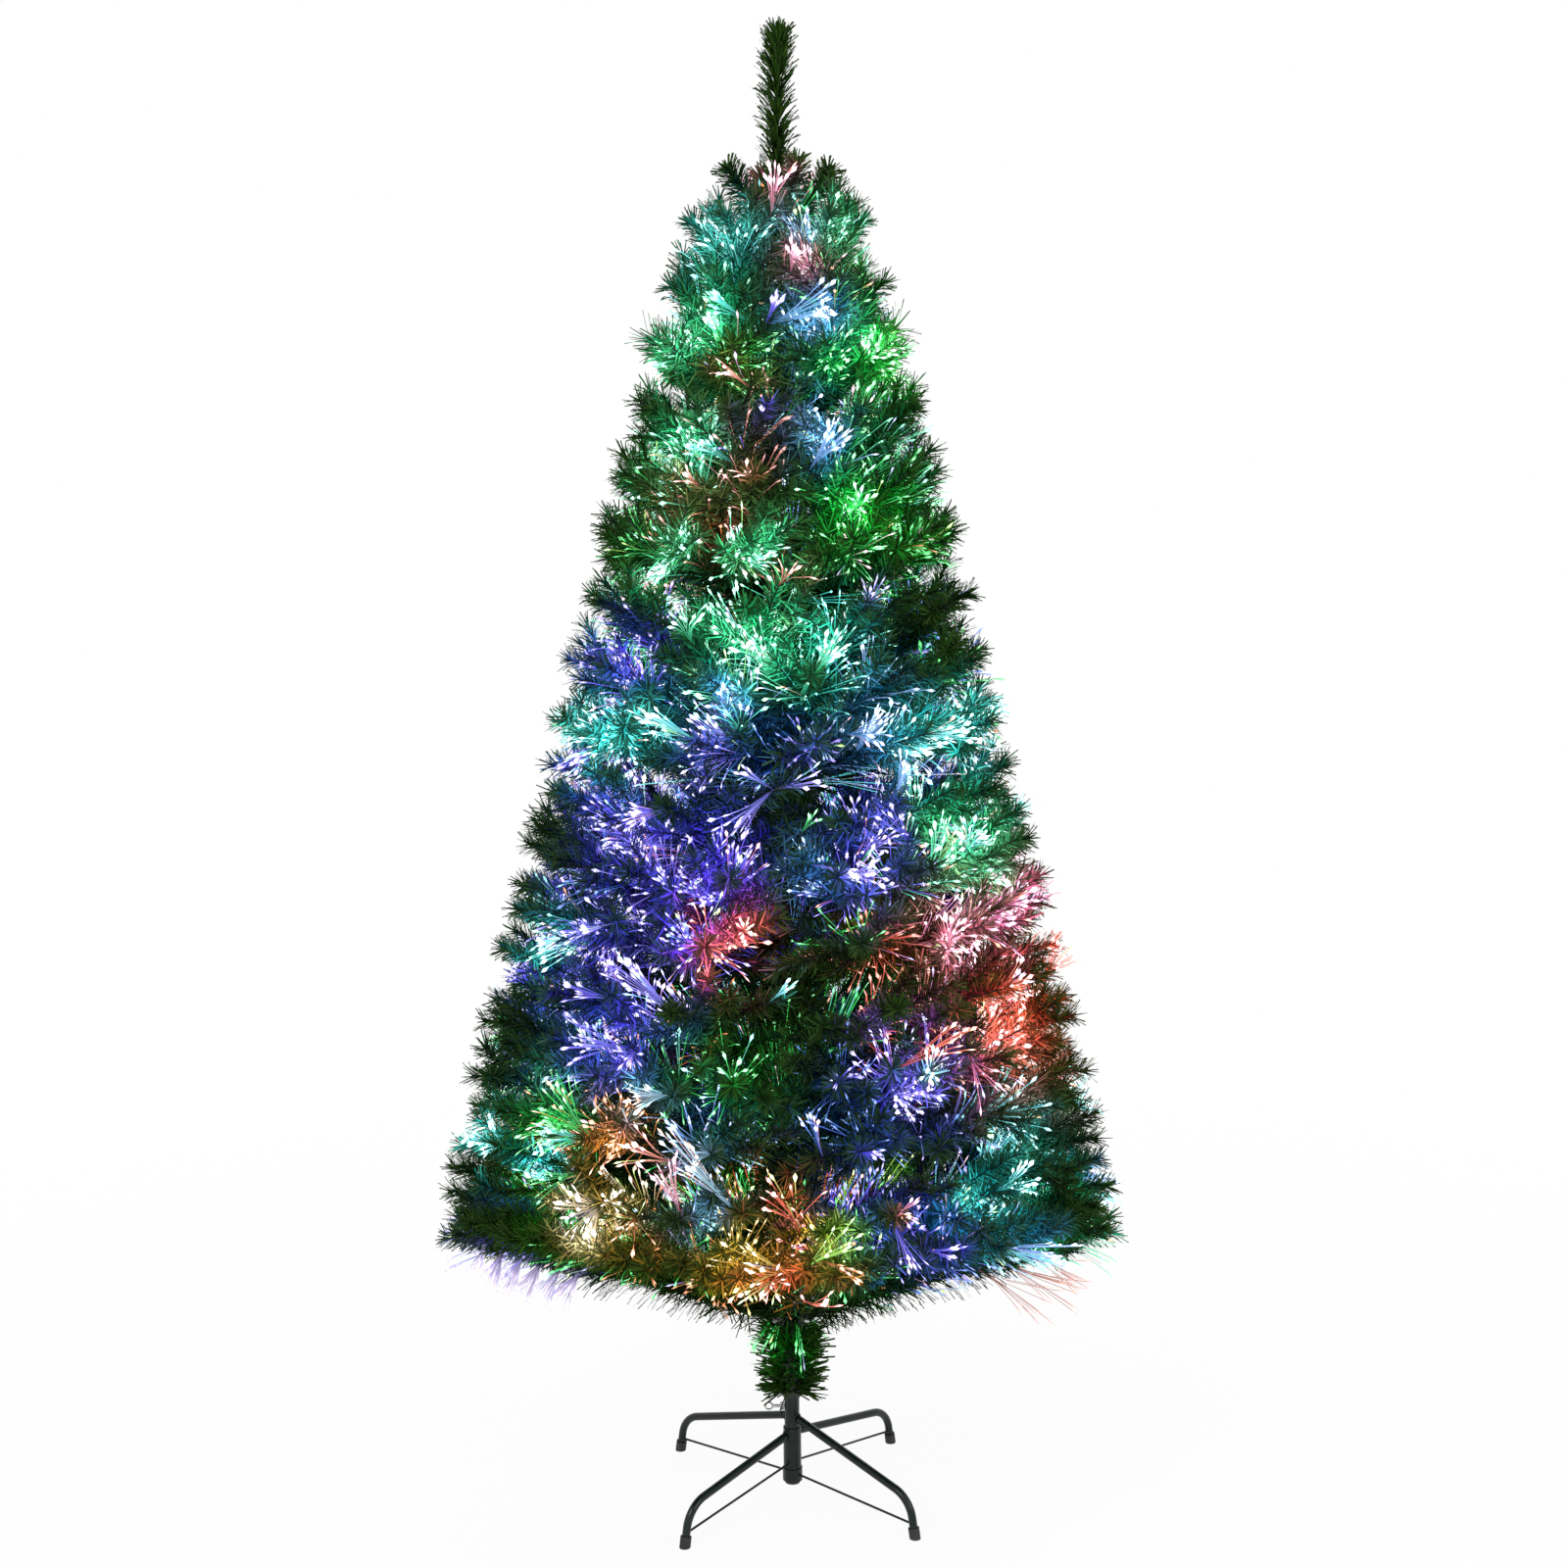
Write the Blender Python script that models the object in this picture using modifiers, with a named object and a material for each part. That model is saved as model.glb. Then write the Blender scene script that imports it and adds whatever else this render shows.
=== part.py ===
"""A fibre-optic Christmas tree that stands 1.8 m high.

A two-part steel pole stands in a folding four-legged stand. Six pressed-on collars carry hinged
branches, each a wire stem with a fan of needled tips, which rest on the bracket below them and
fold up against the pole. A spray of light fibres leaves a hub above every collar. The pole ends
in a needled leader, and a garland of needles hides the clamp between pole and stand.

Metres, +Z up, the pole's axis on the Z axis and the floor at Z = 0.
"""

import math

import bmesh
import bpy
from mathutils import Matrix, Vector

# Clearances between pieces
FIT_GAP = 0.0003
SLIDING_GAP = 0.0004
CUT_OVERRUN = 0.002

# Whole tree
TREE_HEIGHT = 1.800
FOLIAGE_RADIUS = 0.428
TOP_TIP_RADIUS = 0.113
# How much fuller than an even cone the tree is at mid-height
FOLIAGE_BULGE = 0.018
LOWEST_TIP_HEIGHT = 0.338
LEVEL_PITCH = 0.0725
LEVELS_PER_TIER = 3
FIRST_COLLAR_HEIGHT = 0.235

# Branches of each tier, and the tips on the lower, middle and upper level of each branch
TIER_BRANCHES = (6, 5, 4, 4, 4, 3)
TIER_TIPS = ((3, 4, 2), (3, 4, 2), (3, 4, 2), (3, 3, 2), (3, 3, 2), (3, 2, 2))
TIER_TURNS_DEG = (0.0, 18.0, 45.0, 8.0, 52.0, 90.0)

# A branch: wire eye, ferrule, stem and needled tips
EYE_WIRE_RADIUS = 0.0013
FERRULE_RADIUS = 0.0032
FERRULE_LENGTH = 0.018
STEM_RADIUS = 0.0030
STEM_LENGTH_share = 0.62
BRUSH_RADIUS = 0.029
# Rise over run with which the tips of each tier end
TIP_END_SLOPES = (0.12, 0.16, 0.22, 0.30, 0.42, 0.60)
# Half the width of a tip with its side twigs, as a share of the room between two tips
TIP_HALF_WIDTH_share = 0.42
# Where the tips of a level leave the stem: the middle ones, then those at the sides
TIP_START_shares = ((0.58, 0.47), (0.34, 0.30), (0.20, 0.15))
# Places of two, three or four tips across half of the branch's sector
TIP_SIDE_shares = {2: (-0.40, 0.40), 3: (-0.66, 0.0, 0.66), 4: (-0.75, -0.25, 0.25, 0.75)}
# One tip with its side twigs, from its start to its end: where its side corners lie and how wide
# it is there, then where its upper and lower corners lie and how thick it is there
TIP_OUTLINE_shares = (
    (0.24, 0.22, 0.24, 0.66),
    (0.62, 0.78, 0.50, 0.92),
    (0.62, 0.40, 0.66, 0.72),
    (0.93, 1.00, 0.86, 1.00),
)

# Collars with one bracket and pin for each branch
COLLAR_WALL = 0.0037
COLLAR_HEIGHT = 0.016
PIN_DISTANCE = 0.020
PIN_RADIUS = 0.0015
BRACKET_PLATE = 0.0016
BRACKET_TOP_RISE = 0.0045
BRACKET_NOSE = 0.0070
FERRULE_SIDE_GAP = 0.0004
EYE_FLOOR_GAP = 0.0006

# Pole
POLE_RADIUS = 0.0080
POLE_WALL = 0.0009
POLE_JOINT_HEIGHT = 0.800
SPIGOT_LENGTH = 0.080
SPIGOT_WALL = 0.0010
POLE_ABOVE_TOP_COLLAR = 0.1775
POLE_PLUG_LENGTH = 0.040

# Leader on the top of the pole
LEADER_STEM_RADIUS = 0.0030
LEADER_INSERT = 0.035
LEADER_BRUSH_RADIUS = 0.025
LEADER_BRUSH_LENGTH = 0.202
LEADER_END_POINT = 0.012
LEADER_RINGS = 24
LEADER_SIDES = 5
LEADER_NEEDLE_RISE = 0.020
WHORL_TIPS = 4
WHORL_START_HEIGHT = 0.045
WHORL_RADIUS = 0.062
WHORL_RISE = 0.085
WHORL_BRUSH_RADIUS = 0.020
WHORL_END_SLOPE = 1.4
WHORL_TURN_DEG = 20.0

# Needle garland round the foot of the pole
SKIRT_WALL = 0.0030
SKIRT_LENGTH = 0.076
SKIRT_BRUSH_RADIUS = 0.047
SKIRT_RINGS = 9
SKIRT_SIDES = 12
SKIRT_LOWEST_FALL = 0.006
SKIRT_HIGHEST_RISE = 0.017

# Fibre sprays
HUB_WALL = 0.0045
HUB_LENGTH = 0.028
HUB_ABOVE_COLLAR = 0.004
FIBRE_ROOT_RADIUS = 0.0012
FIBRE_LENGTH = 0.260
FIBRE_ROW_ELEVATIONS_DEG = (36.0, 60.0)
FIBRE_ROOT_SPACING = 0.0036
FIBRE_SPREAD_DEG = 3.0
FIBRE_HEADROOM = 0.045

# Stand: inner tube with the fixed legs, sleeve with the swinging legs
STAND_TUBE_WALL = 0.0011
STAND_TUBE_BOTTOM = 0.0178
STAND_TUBE_TOP = 0.128
STAND_RING_WALL = 0.0030
STAND_RING_HEIGHT = 0.0165
SLEEVE_WALL = 0.0015
SLEEVE_LENGTH = 0.053
END_CAP_FLANGE = 0.0035
END_CAP_PLUG = 0.0065
LEG_RADIUS = 0.0050
LEG_SPREAD_RADIUS = 0.197
LEG_KNEE_HEIGHT = 0.048
LEG_BEND_RADIUS = 0.038
LEG_BEND_STEPS = 5
LEG_LEAN_DEG = 10.0
FIXED_LEG_HEIGHT = 0.102
SWING_LEG_HEIGHT = 0.080
FIXED_LEGS_DEG = {"leg_front_right": -41.0, "leg_rear_left": 139.0}
SWING_LEGS_DEG = {"leg_rear_right": 49.0, "leg_front_left": 229.0}
BRACE_RADIUS = 0.0015
BRACE_FOOT_HEIGHT = 0.0175
FIXED_BRACE_HEIGHT = 0.0265
SWING_BRACE_HEIGHT = 0.0400
CAP_WALL = 0.0014
CAP_FLOOR = 0.0030
CAP_HEIGHT = 0.0135

# Clamp: eye screw in a welded nut, on the side at -X
SCREW_HEIGHT = 0.115
SCREW_RADIUS = 0.0020
NUT_RADIUS = 0.0052
NUT_LENGTH = 0.0050
EYE_DISTANCE = 0.0290
EYE_RING_RADIUS = 0.0046
EYE_RING_WIRE_RADIUS = 0.0012

# Facets
TURN_STEPS = 20
POLE_STEPS = 16
HUB_STEPS = 12
SMALL_STEPS = 8
WIRE_STEPS = 4
FERRULE_STEPS = 6

# Values that follow from the sizes above
TIER_PITCH = LEVEL_PITCH * LEVELS_PER_TIER
TIERS = len(TIER_BRANCHES)
TOP_COLLAR_HEIGHT = FIRST_COLLAR_HEIGHT + (TIERS - 1) * TIER_PITCH
POLE_TOP_HEIGHT = TOP_COLLAR_HEIGHT + POLE_ABOVE_TOP_COLLAR
TOP_LEVEL_HEIGHT = LOWEST_TIP_HEIGHT + (TIERS * LEVELS_PER_TIER - 1) * LEVEL_PITCH
EYE_RADIUS = PIN_RADIUS + FIT_GAP + EYE_WIRE_RADIUS
EYE_REACH = EYE_RADIUS + EYE_WIRE_RADIUS
CHANNEL_HALF_WIDTH = FERRULE_RADIUS + FERRULE_SIDE_GAP
BRACKET_HALF_WIDTH = CHANNEL_HALF_WIDTH + BRACKET_PLATE
STAND_TUBE_RADIUS = POLE_RADIUS + SLIDING_GAP + STAND_TUBE_WALL
STAND_RING_RADIUS = STAND_TUBE_RADIUS + STAND_RING_WALL
SLEEVE_BORE = STAND_TUBE_RADIUS + FIT_GAP
SLEEVE_RADIUS = SLEEVE_BORE + SLEEVE_WALL
SLEEVE_BOTTOM = STAND_TUBE_BOTTOM + STAND_RING_HEIGHT + FIT_GAP
END_CAP_TOP = STAND_TUBE_BOTTOM - FIT_GAP + END_CAP_PLUG
POLE_BOTTOM_HEIGHT = END_CAP_TOP + FIT_GAP
POLE_BORE = POLE_RADIUS - POLE_WALL
SPIGOT_RADIUS = POLE_BORE - SLIDING_GAP


def clear_scene():
    """Remove every object, so that the part is all there is."""
    for leftover in list(bpy.data.objects):
        bpy.data.objects.remove(leftover, do_unlink=True)


def new_collection(name):
    """Return a new collection of the scene."""
    collection = bpy.data.collections.new(name)
    bpy.context.scene.collection.children.link(collection)
    return collection


def material(name, colour, roughness, metallic=0.0):
    """Return a Principled material."""
    made = bpy.data.materials.new(name)
    made.use_nodes = True
    shader = made.node_tree.nodes["Principled BSDF"]
    shader.inputs["Base Color"].default_value = (*colour, 1.0)
    shader.inputs["Roughness"].default_value = roughness
    shader.inputs["Metallic"].default_value = metallic
    return made


def add_piece(name, mesh, finish, collection):
    """Make the named object of one sub-part."""
    piece = bpy.data.objects.new(name, mesh)
    if not mesh.materials:
        mesh.materials.append(finish)
    collection.objects.link(piece)
    return piece


def smooth(mesh, angle_deg=35.0):
    """Shade a round piece smooth, with its corners sharp."""
    mesh.shade_smooth()
    mesh.set_sharp_from_angle(angle=math.radians(angle_deg))
    return mesh


def evaluated_mesh(made):
    """Return the object's mesh with its modifiers applied, and remove the object."""
    bpy.context.view_layer.update()
    graph = bpy.context.evaluated_depsgraph_get()
    mesh = bpy.data.meshes.new_from_object(made.evaluated_get(graph))
    mesh.transform(made.matrix_world)
    bpy.data.objects.remove(made, do_unlink=True)
    return mesh


def welded(mesh, distance=1e-6, in_triangles=False):
    """Merge doubled points, such as a tube's caps or a route's pointed end."""
    work = bmesh.new()
    work.from_mesh(mesh)
    bmesh.ops.remove_doubles(work, verts=work.verts, dist=distance)
    bmesh.ops.dissolve_degenerate(work, edges=work.edges, dist=distance)
    if in_triangles:
        bmesh.ops.triangulate(work, faces=work.faces)
    work.to_mesh(mesh)
    work.free()
    return mesh


def route_mesh(routes, radius, resolution):
    """Return tubes along routes of (point, share of the radius), capped and welded."""
    curve = bpy.data.curves.new("route", "CURVE")
    curve.dimensions = "3D"
    curve.bevel_depth = radius
    curve.bevel_resolution = resolution
    curve.use_fill_caps = True
    for route in routes:
        spline = curve.splines.new("POLY")
        spline.points.add(len(route) - 1)
        for target, (place, share) in zip(spline.points, route, strict=True):
            target.co = (*place, 1.0)
            target.radius = share
    made = bpy.data.objects.new("route", curve)
    bpy.context.scene.collection.objects.link(made)
    mesh = welded(evaluated_mesh(made))
    bpy.data.curves.remove(curve)
    return mesh


def ringed_mesh(start, rings, end):
    """Return the closed skin over rings of corners, pointed at both ends."""
    work = bmesh.new()
    first, last = work.verts.new(start), work.verts.new(end)
    made = [[work.verts.new(corner) for corner in ring] for ring in rings]
    count = len(made[0])
    for n in range(count):
        after = (n + 1) % count
        work.faces.new((first, made[0][after], made[0][n]))
        work.faces.new((last, made[-1][n], made[-1][after]))
        for ring, following in zip(made, made[1:], strict=False):
            work.faces.new((ring[n], ring[after], following[after], following[n]))
    bmesh.ops.triangulate(work, faces=work.faces)
    bmesh.ops.recalc_face_normals(work, faces=work.faces)
    mesh = bpy.data.meshes.new("rings")
    work.to_mesh(mesh)
    work.free()
    return mesh


def turned_mesh(profile, steps, closed=True):
    """Return a profile of (radius, height) turned about Z, the outer side running down."""
    line = bpy.data.meshes.new("profile")
    count = len(profile)
    edges = [(n, n + 1) for n in range(count - 1)]
    if closed:
        edges.append((count - 1, 0))
    line.from_pydata([(radius, 0.0, height) for radius, height in profile], edges, [])
    made = bpy.data.objects.new("profile", line)
    bpy.context.scene.collection.objects.link(made)
    screw = made.modifiers.new("turn", "SCREW")
    screw.steps = steps
    screw.render_steps = steps
    screw.use_merge_vertices = True
    screw.merge_threshold = 1e-6
    return welded(evaluated_mesh(made))


def ring_profile(bore, radius, bottom, top):
    """Return the section of a plain ring, up the bore and down the outer side."""
    return [(bore, bottom), (bore, top), (radius, top), (radius, bottom)]


def box_mesh(low, high):
    """Return a box between two corners."""
    work = bmesh.new()
    size = Vector(high) - Vector(low)
    middle = (Vector(high) + Vector(low)) / 2
    place = Matrix.Translation(middle) @ Matrix.Diagonal((*size, 1.0))
    bmesh.ops.create_cube(work, size=1.0, matrix=place)
    mesh = bpy.data.meshes.new("box")
    work.to_mesh(mesh)
    work.free()
    return mesh


def cylinder_mesh(radius, length, steps, turn):
    """Return a cylinder of Z from 0 to its length, then turned and placed by a matrix."""
    work = bmesh.new()
    bmesh.ops.create_cone(
        work,
        cap_ends=True,
        segments=steps,
        radius1=radius,
        radius2=radius,
        depth=length,
        matrix=turn @ Matrix.Translation((0.0, 0.0, length / 2)),
    )
    mesh = bpy.data.meshes.new("cylinder")
    work.to_mesh(mesh)
    work.free()
    return mesh


def torus_mesh(radius, wire_radius, steps, wire_steps, turn):
    """Return a ring of wire, turned and placed by a matrix."""
    bpy.ops.mesh.primitive_torus_add(
        major_segments=steps,
        minor_segments=wire_steps,
        major_radius=radius,
        minor_radius=wire_radius,
    )
    made = bpy.context.object
    made.matrix_world = turn
    return evaluated_mesh(made)


def combined(meshes, turns=None):
    """Join meshes that don't touch into one mesh."""
    work = bmesh.new()
    for n, mesh in enumerate(meshes):
        copy = mesh.copy()
        if turns:
            copy.transform(turns[n])
        work.from_mesh(copy)
        bpy.data.meshes.remove(copy)
    joined = bpy.data.meshes.new("joined")
    work.to_mesh(joined)
    work.free()
    return joined


def boolean_mesh(base, operands, operation):
    """Return the base joined with, or cut by, every operand."""
    group = bpy.data.collections.new("operands")
    bpy.context.scene.collection.children.link(group)
    for mesh in operands:
        group.objects.link(bpy.data.objects.new("operand", mesh))
    made = bpy.data.objects.new("base", base)
    bpy.context.scene.collection.objects.link(made)
    step = made.modifiers.new("boolean", "BOOLEAN")
    step.operation = operation
    step.operand_type = "COLLECTION"
    step.collection = group
    mesh = evaluated_mesh(made)
    for operand in list(group.objects):
        bpy.data.objects.remove(operand, do_unlink=True)
    bpy.data.collections.remove(group)
    return welded(mesh, in_triangles=True)


def along_y(place):
    """Return a matrix that lays a Z axis along +Y at a place."""
    return Matrix.Translation(place) @ Matrix.Rotation(math.radians(-90.0), 4, "X")


def along_minus_x(place):
    """Return a matrix that lays a Z axis along -X at a place."""
    return Matrix.Translation(place) @ Matrix.Rotation(math.radians(-90.0), 4, "Y")


def about_z(angle_deg):
    """Return a turn about the pole's axis."""
    return Matrix.Rotation(math.radians(angle_deg), 4, "Z")


def outward(radius, angle_deg, height):
    """Return the point at this radius, direction and height."""
    angle = math.radians(angle_deg)
    return Vector((radius * math.cos(angle), radius * math.sin(angle), height))


def bore_radius(radius, steps):
    """Return the corner radius of a faceted bore whose flats lie at this radius."""
    return radius / math.cos(math.pi / steps)


def collar_height(tier):
    """Return the height of a tier's hinge pins."""
    return FIRST_COLLAR_HEIGHT + tier * TIER_PITCH


def foliage_radius(height):
    """Return how far the tips reach at this height: a cone that bulges a little."""
    place = (height - LOWEST_TIP_HEIGHT) / (TOP_LEVEL_HEIGHT - LOWEST_TIP_HEIGHT)
    bulge = FOLIAGE_BULGE * (1 - (2 * place - 1) ** 4)
    return FOLIAGE_RADIUS + (TOP_TIP_RADIUS - FOLIAGE_RADIUS) * place + bulge


def tip_end(tier, level, side_deg):
    """Return a tip's end, seen from the tier's pin, with the branch along +X."""
    height = LOWEST_TIP_HEIGHT + (tier * LEVELS_PER_TIER + level) * LEVEL_PITCH
    end = outward(foliage_radius(height), side_deg, height - collar_height(tier))
    return end - Vector((PIN_DISTANCE, 0.0, 0.0))


def stem_slope(tier):
    """Return the rise of a tier's stems over their run."""
    end = tip_end(tier, 0, 0.0)
    return end.z / end.x


def tip_mesh(start, end, slope, half_width, half_thickness):
    """Return one tip: a flat needled twig that sweeps out to its end slope, with side twigs."""
    run = Vector((end.x - start.x, end.y - start.y, 0.0)) / 2
    control = end - run - Vector((0.0, 0.0, slope * run.length))

    def on_route(along, across, above):
        back = 1 - along
        place = back * back * start + 2 * along * back * control + along * along * end
        way = (back * (control - start) + along * (end - control)).normalized()
        side = way.cross(Vector((0.0, 0.0, 1.0))).normalized()
        return place + side * across * half_width + side.cross(way) * above * half_thickness

    rings = []
    for side_along, wide, top_along, thick in TIP_OUTLINE_shares:
        rings.append(
            [
                on_route(side_along, wide, 0.0),
                on_route(top_along, 0.0, thick),
                on_route(side_along, -wide, 0.0),
                on_route(top_along, 0.0, -thick),
            ]
        )
    return ringed_mesh(start, rings, end)


def branch_mesh(tier):
    """Return one branch with its pin's axis along Y at the origin and its stem along +X."""
    stem_end = tip_end(tier, 0, 0.0)
    direction = stem_end.normalized()
    half_sector = 180.0 / TIER_BRANCHES[tier]
    stem = route_mesh(
        [[(direction * (EYE_REACH + FERRULE_RADIUS), 1.0), (stem_end * STEM_LENGTH_share, 1.0)]],
        STEM_RADIUS,
        0,
    )
    ferrule_turn = Vector((0.0, 0.0, 1.0)).rotation_difference(direction).to_matrix().to_4x4()
    ferrule_start = Matrix.Translation(direction * EYE_RADIUS)
    ferrule = cylinder_mesh(
        FERRULE_RADIUS, FERRULE_LENGTH, FERRULE_STEPS, ferrule_start @ ferrule_turn
    )
    eye = torus_mesh(EYE_RADIUS, EYE_WIRE_RADIUS, SMALL_STEPS, WIRE_STEPS, along_y((0.0, 0.0, 0.0)))
    tips = []
    for level, count in enumerate(TIER_TIPS[tier]):
        for side in TIP_SIDE_shares[count]:
            start = stem_end * TIP_START_shares[level][side != 0.0]
            end = tip_end(tier, level, side * half_sector)
            room = math.radians(2 * half_sector / count) * (end.x + PIN_DISTANCE)
            half_width = room * TIP_HALF_WIDTH_share
            slope = TIP_END_SLOPES[tier]
            tips.append(tip_mesh(start, end, slope, half_width, BRUSH_RADIUS))
    return boolean_mesh(stem, [ferrule, eye, *tips], "UNION")


def bracket_mesh(tier):
    """Return one bracket: a channel with a stop lip and a riveted pin, in the branch's frame."""
    floor = -(EYE_REACH + EYE_FLOOR_GAP)
    inner = POLE_RADIUS + FIT_GAP + COLLAR_WALL / 2 - PIN_DISTANCE
    back = POLE_RADIUS + FIT_GAP + COLLAR_WALL - PIN_DISTANCE
    channel = box_mesh(
        (inner, -BRACKET_HALF_WIDTH, floor - BRACKET_PLATE),
        (BRACKET_NOSE, BRACKET_HALF_WIDTH, BRACKET_TOP_RISE),
    )
    hollow = box_mesh(
        (back + BRACKET_PLATE, -CHANNEL_HALF_WIDTH, floor),
        (BRACKET_NOSE + CUT_OVERRUN, CHANNEL_HALF_WIDTH, BRACKET_TOP_RISE + CUT_OVERRUN),
    )
    channel = boolean_mesh(channel, [hollow], "DIFFERENCE")
    lip_start = BRACKET_NOSE - BRACKET_PLATE
    slope = stem_slope(tier)
    underside = lip_start * slope - FERRULE_RADIUS * math.hypot(1.0, slope)
    lip = box_mesh(
        (lip_start, -BRACKET_HALF_WIDTH + BRACKET_PLATE / 2, floor - BRACKET_PLATE / 2),
        (
            BRACKET_NOSE - BRACKET_PLATE / 8,
            BRACKET_HALF_WIDTH - BRACKET_PLATE / 2,
            underside - FIT_GAP,
        ),
    )
    pin_half = CHANNEL_HALF_WIDTH + BRACKET_PLATE / 2
    pin = cylinder_mesh(PIN_RADIUS, 2 * pin_half, SMALL_STEPS, along_y((0.0, -pin_half, 0.0)))
    return boolean_mesh(channel, [lip, pin], "UNION")


def collar_mesh(tier):
    """Return a tier's collar with a bracket for every branch."""
    bore = bore_radius(POLE_RADIUS + FIT_GAP, POLE_STEPS)
    ring = turned_mesh(
        ring_profile(
            bore,
            POLE_RADIUS + FIT_GAP + COLLAR_WALL,
            -COLLAR_HEIGHT / 2,
            COLLAR_HEIGHT / 2,
        ),
        POLE_STEPS,
    )
    bracket = bracket_mesh(tier)
    out = Matrix.Translation((PIN_DISTANCE, 0.0, 0.0))
    turns = [about_z(angle) @ out for angle in branch_angles(tier)]
    brackets = combined([bracket] * len(turns), turns)
    return boolean_mesh(ring, [brackets], "UNION")


def branch_angles(tier):
    """Return the directions of a tier's branches in degrees."""
    count = TIER_BRANCHES[tier]
    return [TIER_TURNS_DEG[tier] + 360.0 * n / count for n in range(count)]


def add_tier(tier, collar_finish, needle_finish, collection):
    """Add a tier's collar and branches."""
    height = collar_height(tier)
    collar = add_piece(
        f"branch_collar_{tier + 1}", collar_mesh(tier), collar_finish, collection
    )
    collar.location = (0.0, 0.0, height)
    shared = branch_mesh(tier)
    for n, angle in enumerate(branch_angles(tier)):
        branch = add_piece(f"branch_{tier + 1}_{n + 1}", shared, needle_finish, collection)
        branch.location = outward(PIN_DISTANCE, angle, height)
        branch.rotation_euler = (0.0, 0.0, math.radians(angle))


def fibre_reach(tier, elevation, start):
    """Return a fibre's length, so that it ends below the branches of the tier above."""
    if tier + 1 < TIERS:
        slope = stem_slope(tier + 1)
        ceiling = TIER_PITCH - FIBRE_HEADROOM
    else:
        slope = 0.0
        ceiling = POLE_ABOVE_TOP_COLLAR
    room = ceiling - start.z + (start.x - PIN_DISTANCE) * slope
    approach = math.sin(elevation) - slope * math.cos(elevation)
    return FIBRE_LENGTH if approach * FIBRE_LENGTH < room else room / approach


def spray_mesh(tier):
    """Return a hub with its fibres, which rise between the tier's branches."""
    outer = POLE_RADIUS + FIT_GAP + HUB_WALL
    bottom = COLLAR_HEIGHT / 2 + HUB_ABOVE_COLLAR
    hub = turned_mesh(
        ring_profile(
            bore_radius(POLE_RADIUS + FIT_GAP, HUB_STEPS), outer, bottom, bottom + HUB_LENGTH
        ),
        HUB_STEPS,
    )
    root_radius = outer - HUB_WALL / 2
    half_sector = 180.0 / TIER_BRANCHES[tier]
    rows = len(FIBRE_ROW_ELEVATIONS_DEG)
    root_turn = math.degrees(FIBRE_ROOT_SPACING / (2 * root_radius))
    routes = []
    for angle in branch_angles(tier):
        for row, elevation_deg in enumerate(FIBRE_ROW_ELEVATIONS_DEG):
            height = bottom + HUB_LENGTH * (row + 1) / (rows + 1)
            elevation = math.radians(elevation_deg)
            reach = fibre_reach(tier, elevation, Vector((root_radius, 0.0, height)))
            far = root_radius + reach * math.cos(elevation)
            for side in (-1.0, 1.0):
                middle = angle + half_sector
                start = outward(root_radius, middle + side * root_turn, height)
                end = outward(
                    far, middle + side * FIBRE_SPREAD_DEG, height + reach * math.sin(elevation)
                )
                routes.append([(start, 1.0), (end, 0.0)])
    fibres = route_mesh(routes, FIBRE_ROOT_RADIUS, 0)
    return boolean_mesh(hub, [fibres], "UNION")


def add_spray(tier, finish, collection):
    """Add the fibre spray above a tier's collar."""
    spray = add_piece(f"fibre_spray_{tier + 1}", spray_mesh(tier), finish, collection)
    spray.location = (0.0, 0.0, collar_height(tier))


def spiked(mesh, on_surface, spike_end):
    """Draw every face of a needled surface out into a needle."""
    work = bmesh.new()
    work.from_mesh(mesh)
    faces = [face for face in work.faces if on_surface(face)]
    points = bmesh.ops.poke(work, faces=faces)["verts"]
    for point in points:
        point.co = spike_end(point.co)
    work.to_mesh(mesh)
    work.free()
    return mesh


def add_leader(finish, collection):
    """Add the leader: a needled top and a whorl of short tips on one stem."""
    bottom = -LEADER_INSERT
    top = TREE_HEIGHT - POLE_TOP_HEIGHT - LEADER_END_POINT
    brush_start = top + LEADER_END_POINT - LEADER_BRUSH_LENGTH
    heights = [
        top - (top - brush_start) * ring / LEADER_RINGS for ring in range(LEADER_RINGS + 1)
    ]
    outer = [(LEADER_STEM_RADIUS, height) for height in heights]
    stem = turned_mesh(
        [(0.0, top + LEADER_END_POINT), *outer, (LEADER_STEM_RADIUS, bottom), (0.0, bottom)],
        LEADER_SIDES,
        closed=False,
    )

    def in_brush(face):
        middle = face.calc_center_median()
        return abs(face.normal.z) < 0.5 and brush_start < middle.z < top

    def needle_end(point):
        along = (point.z - brush_start) / (top - brush_start)
        reach = LEADER_BRUSH_RADIUS * (1 - 0.5 * along**4)
        turn = math.atan2(point.y, point.x)
        rise = LEADER_NEEDLE_RISE * (1 - 0.45 * along**4)
        return outward(reach, math.degrees(turn), point.z + rise)

    spiked(stem, in_brush, needle_end)
    tips = []
    for n in range(WHORL_TIPS):
        angle = WHORL_TURN_DEG + 360.0 * n / WHORL_TIPS
        start = Vector((0.0, 0.0, WHORL_START_HEIGHT))
        end = outward(WHORL_RADIUS, angle, WHORL_START_HEIGHT + WHORL_RISE)
        tips.append(
            tip_mesh(start, end, WHORL_END_SLOPE, WHORL_BRUSH_RADIUS, WHORL_BRUSH_RADIUS)
        )
    leader = add_piece("leader", boolean_mesh(stem, tips, "UNION"), finish, collection)
    leader.location = (0.0, 0.0, POLE_TOP_HEIGHT)


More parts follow.
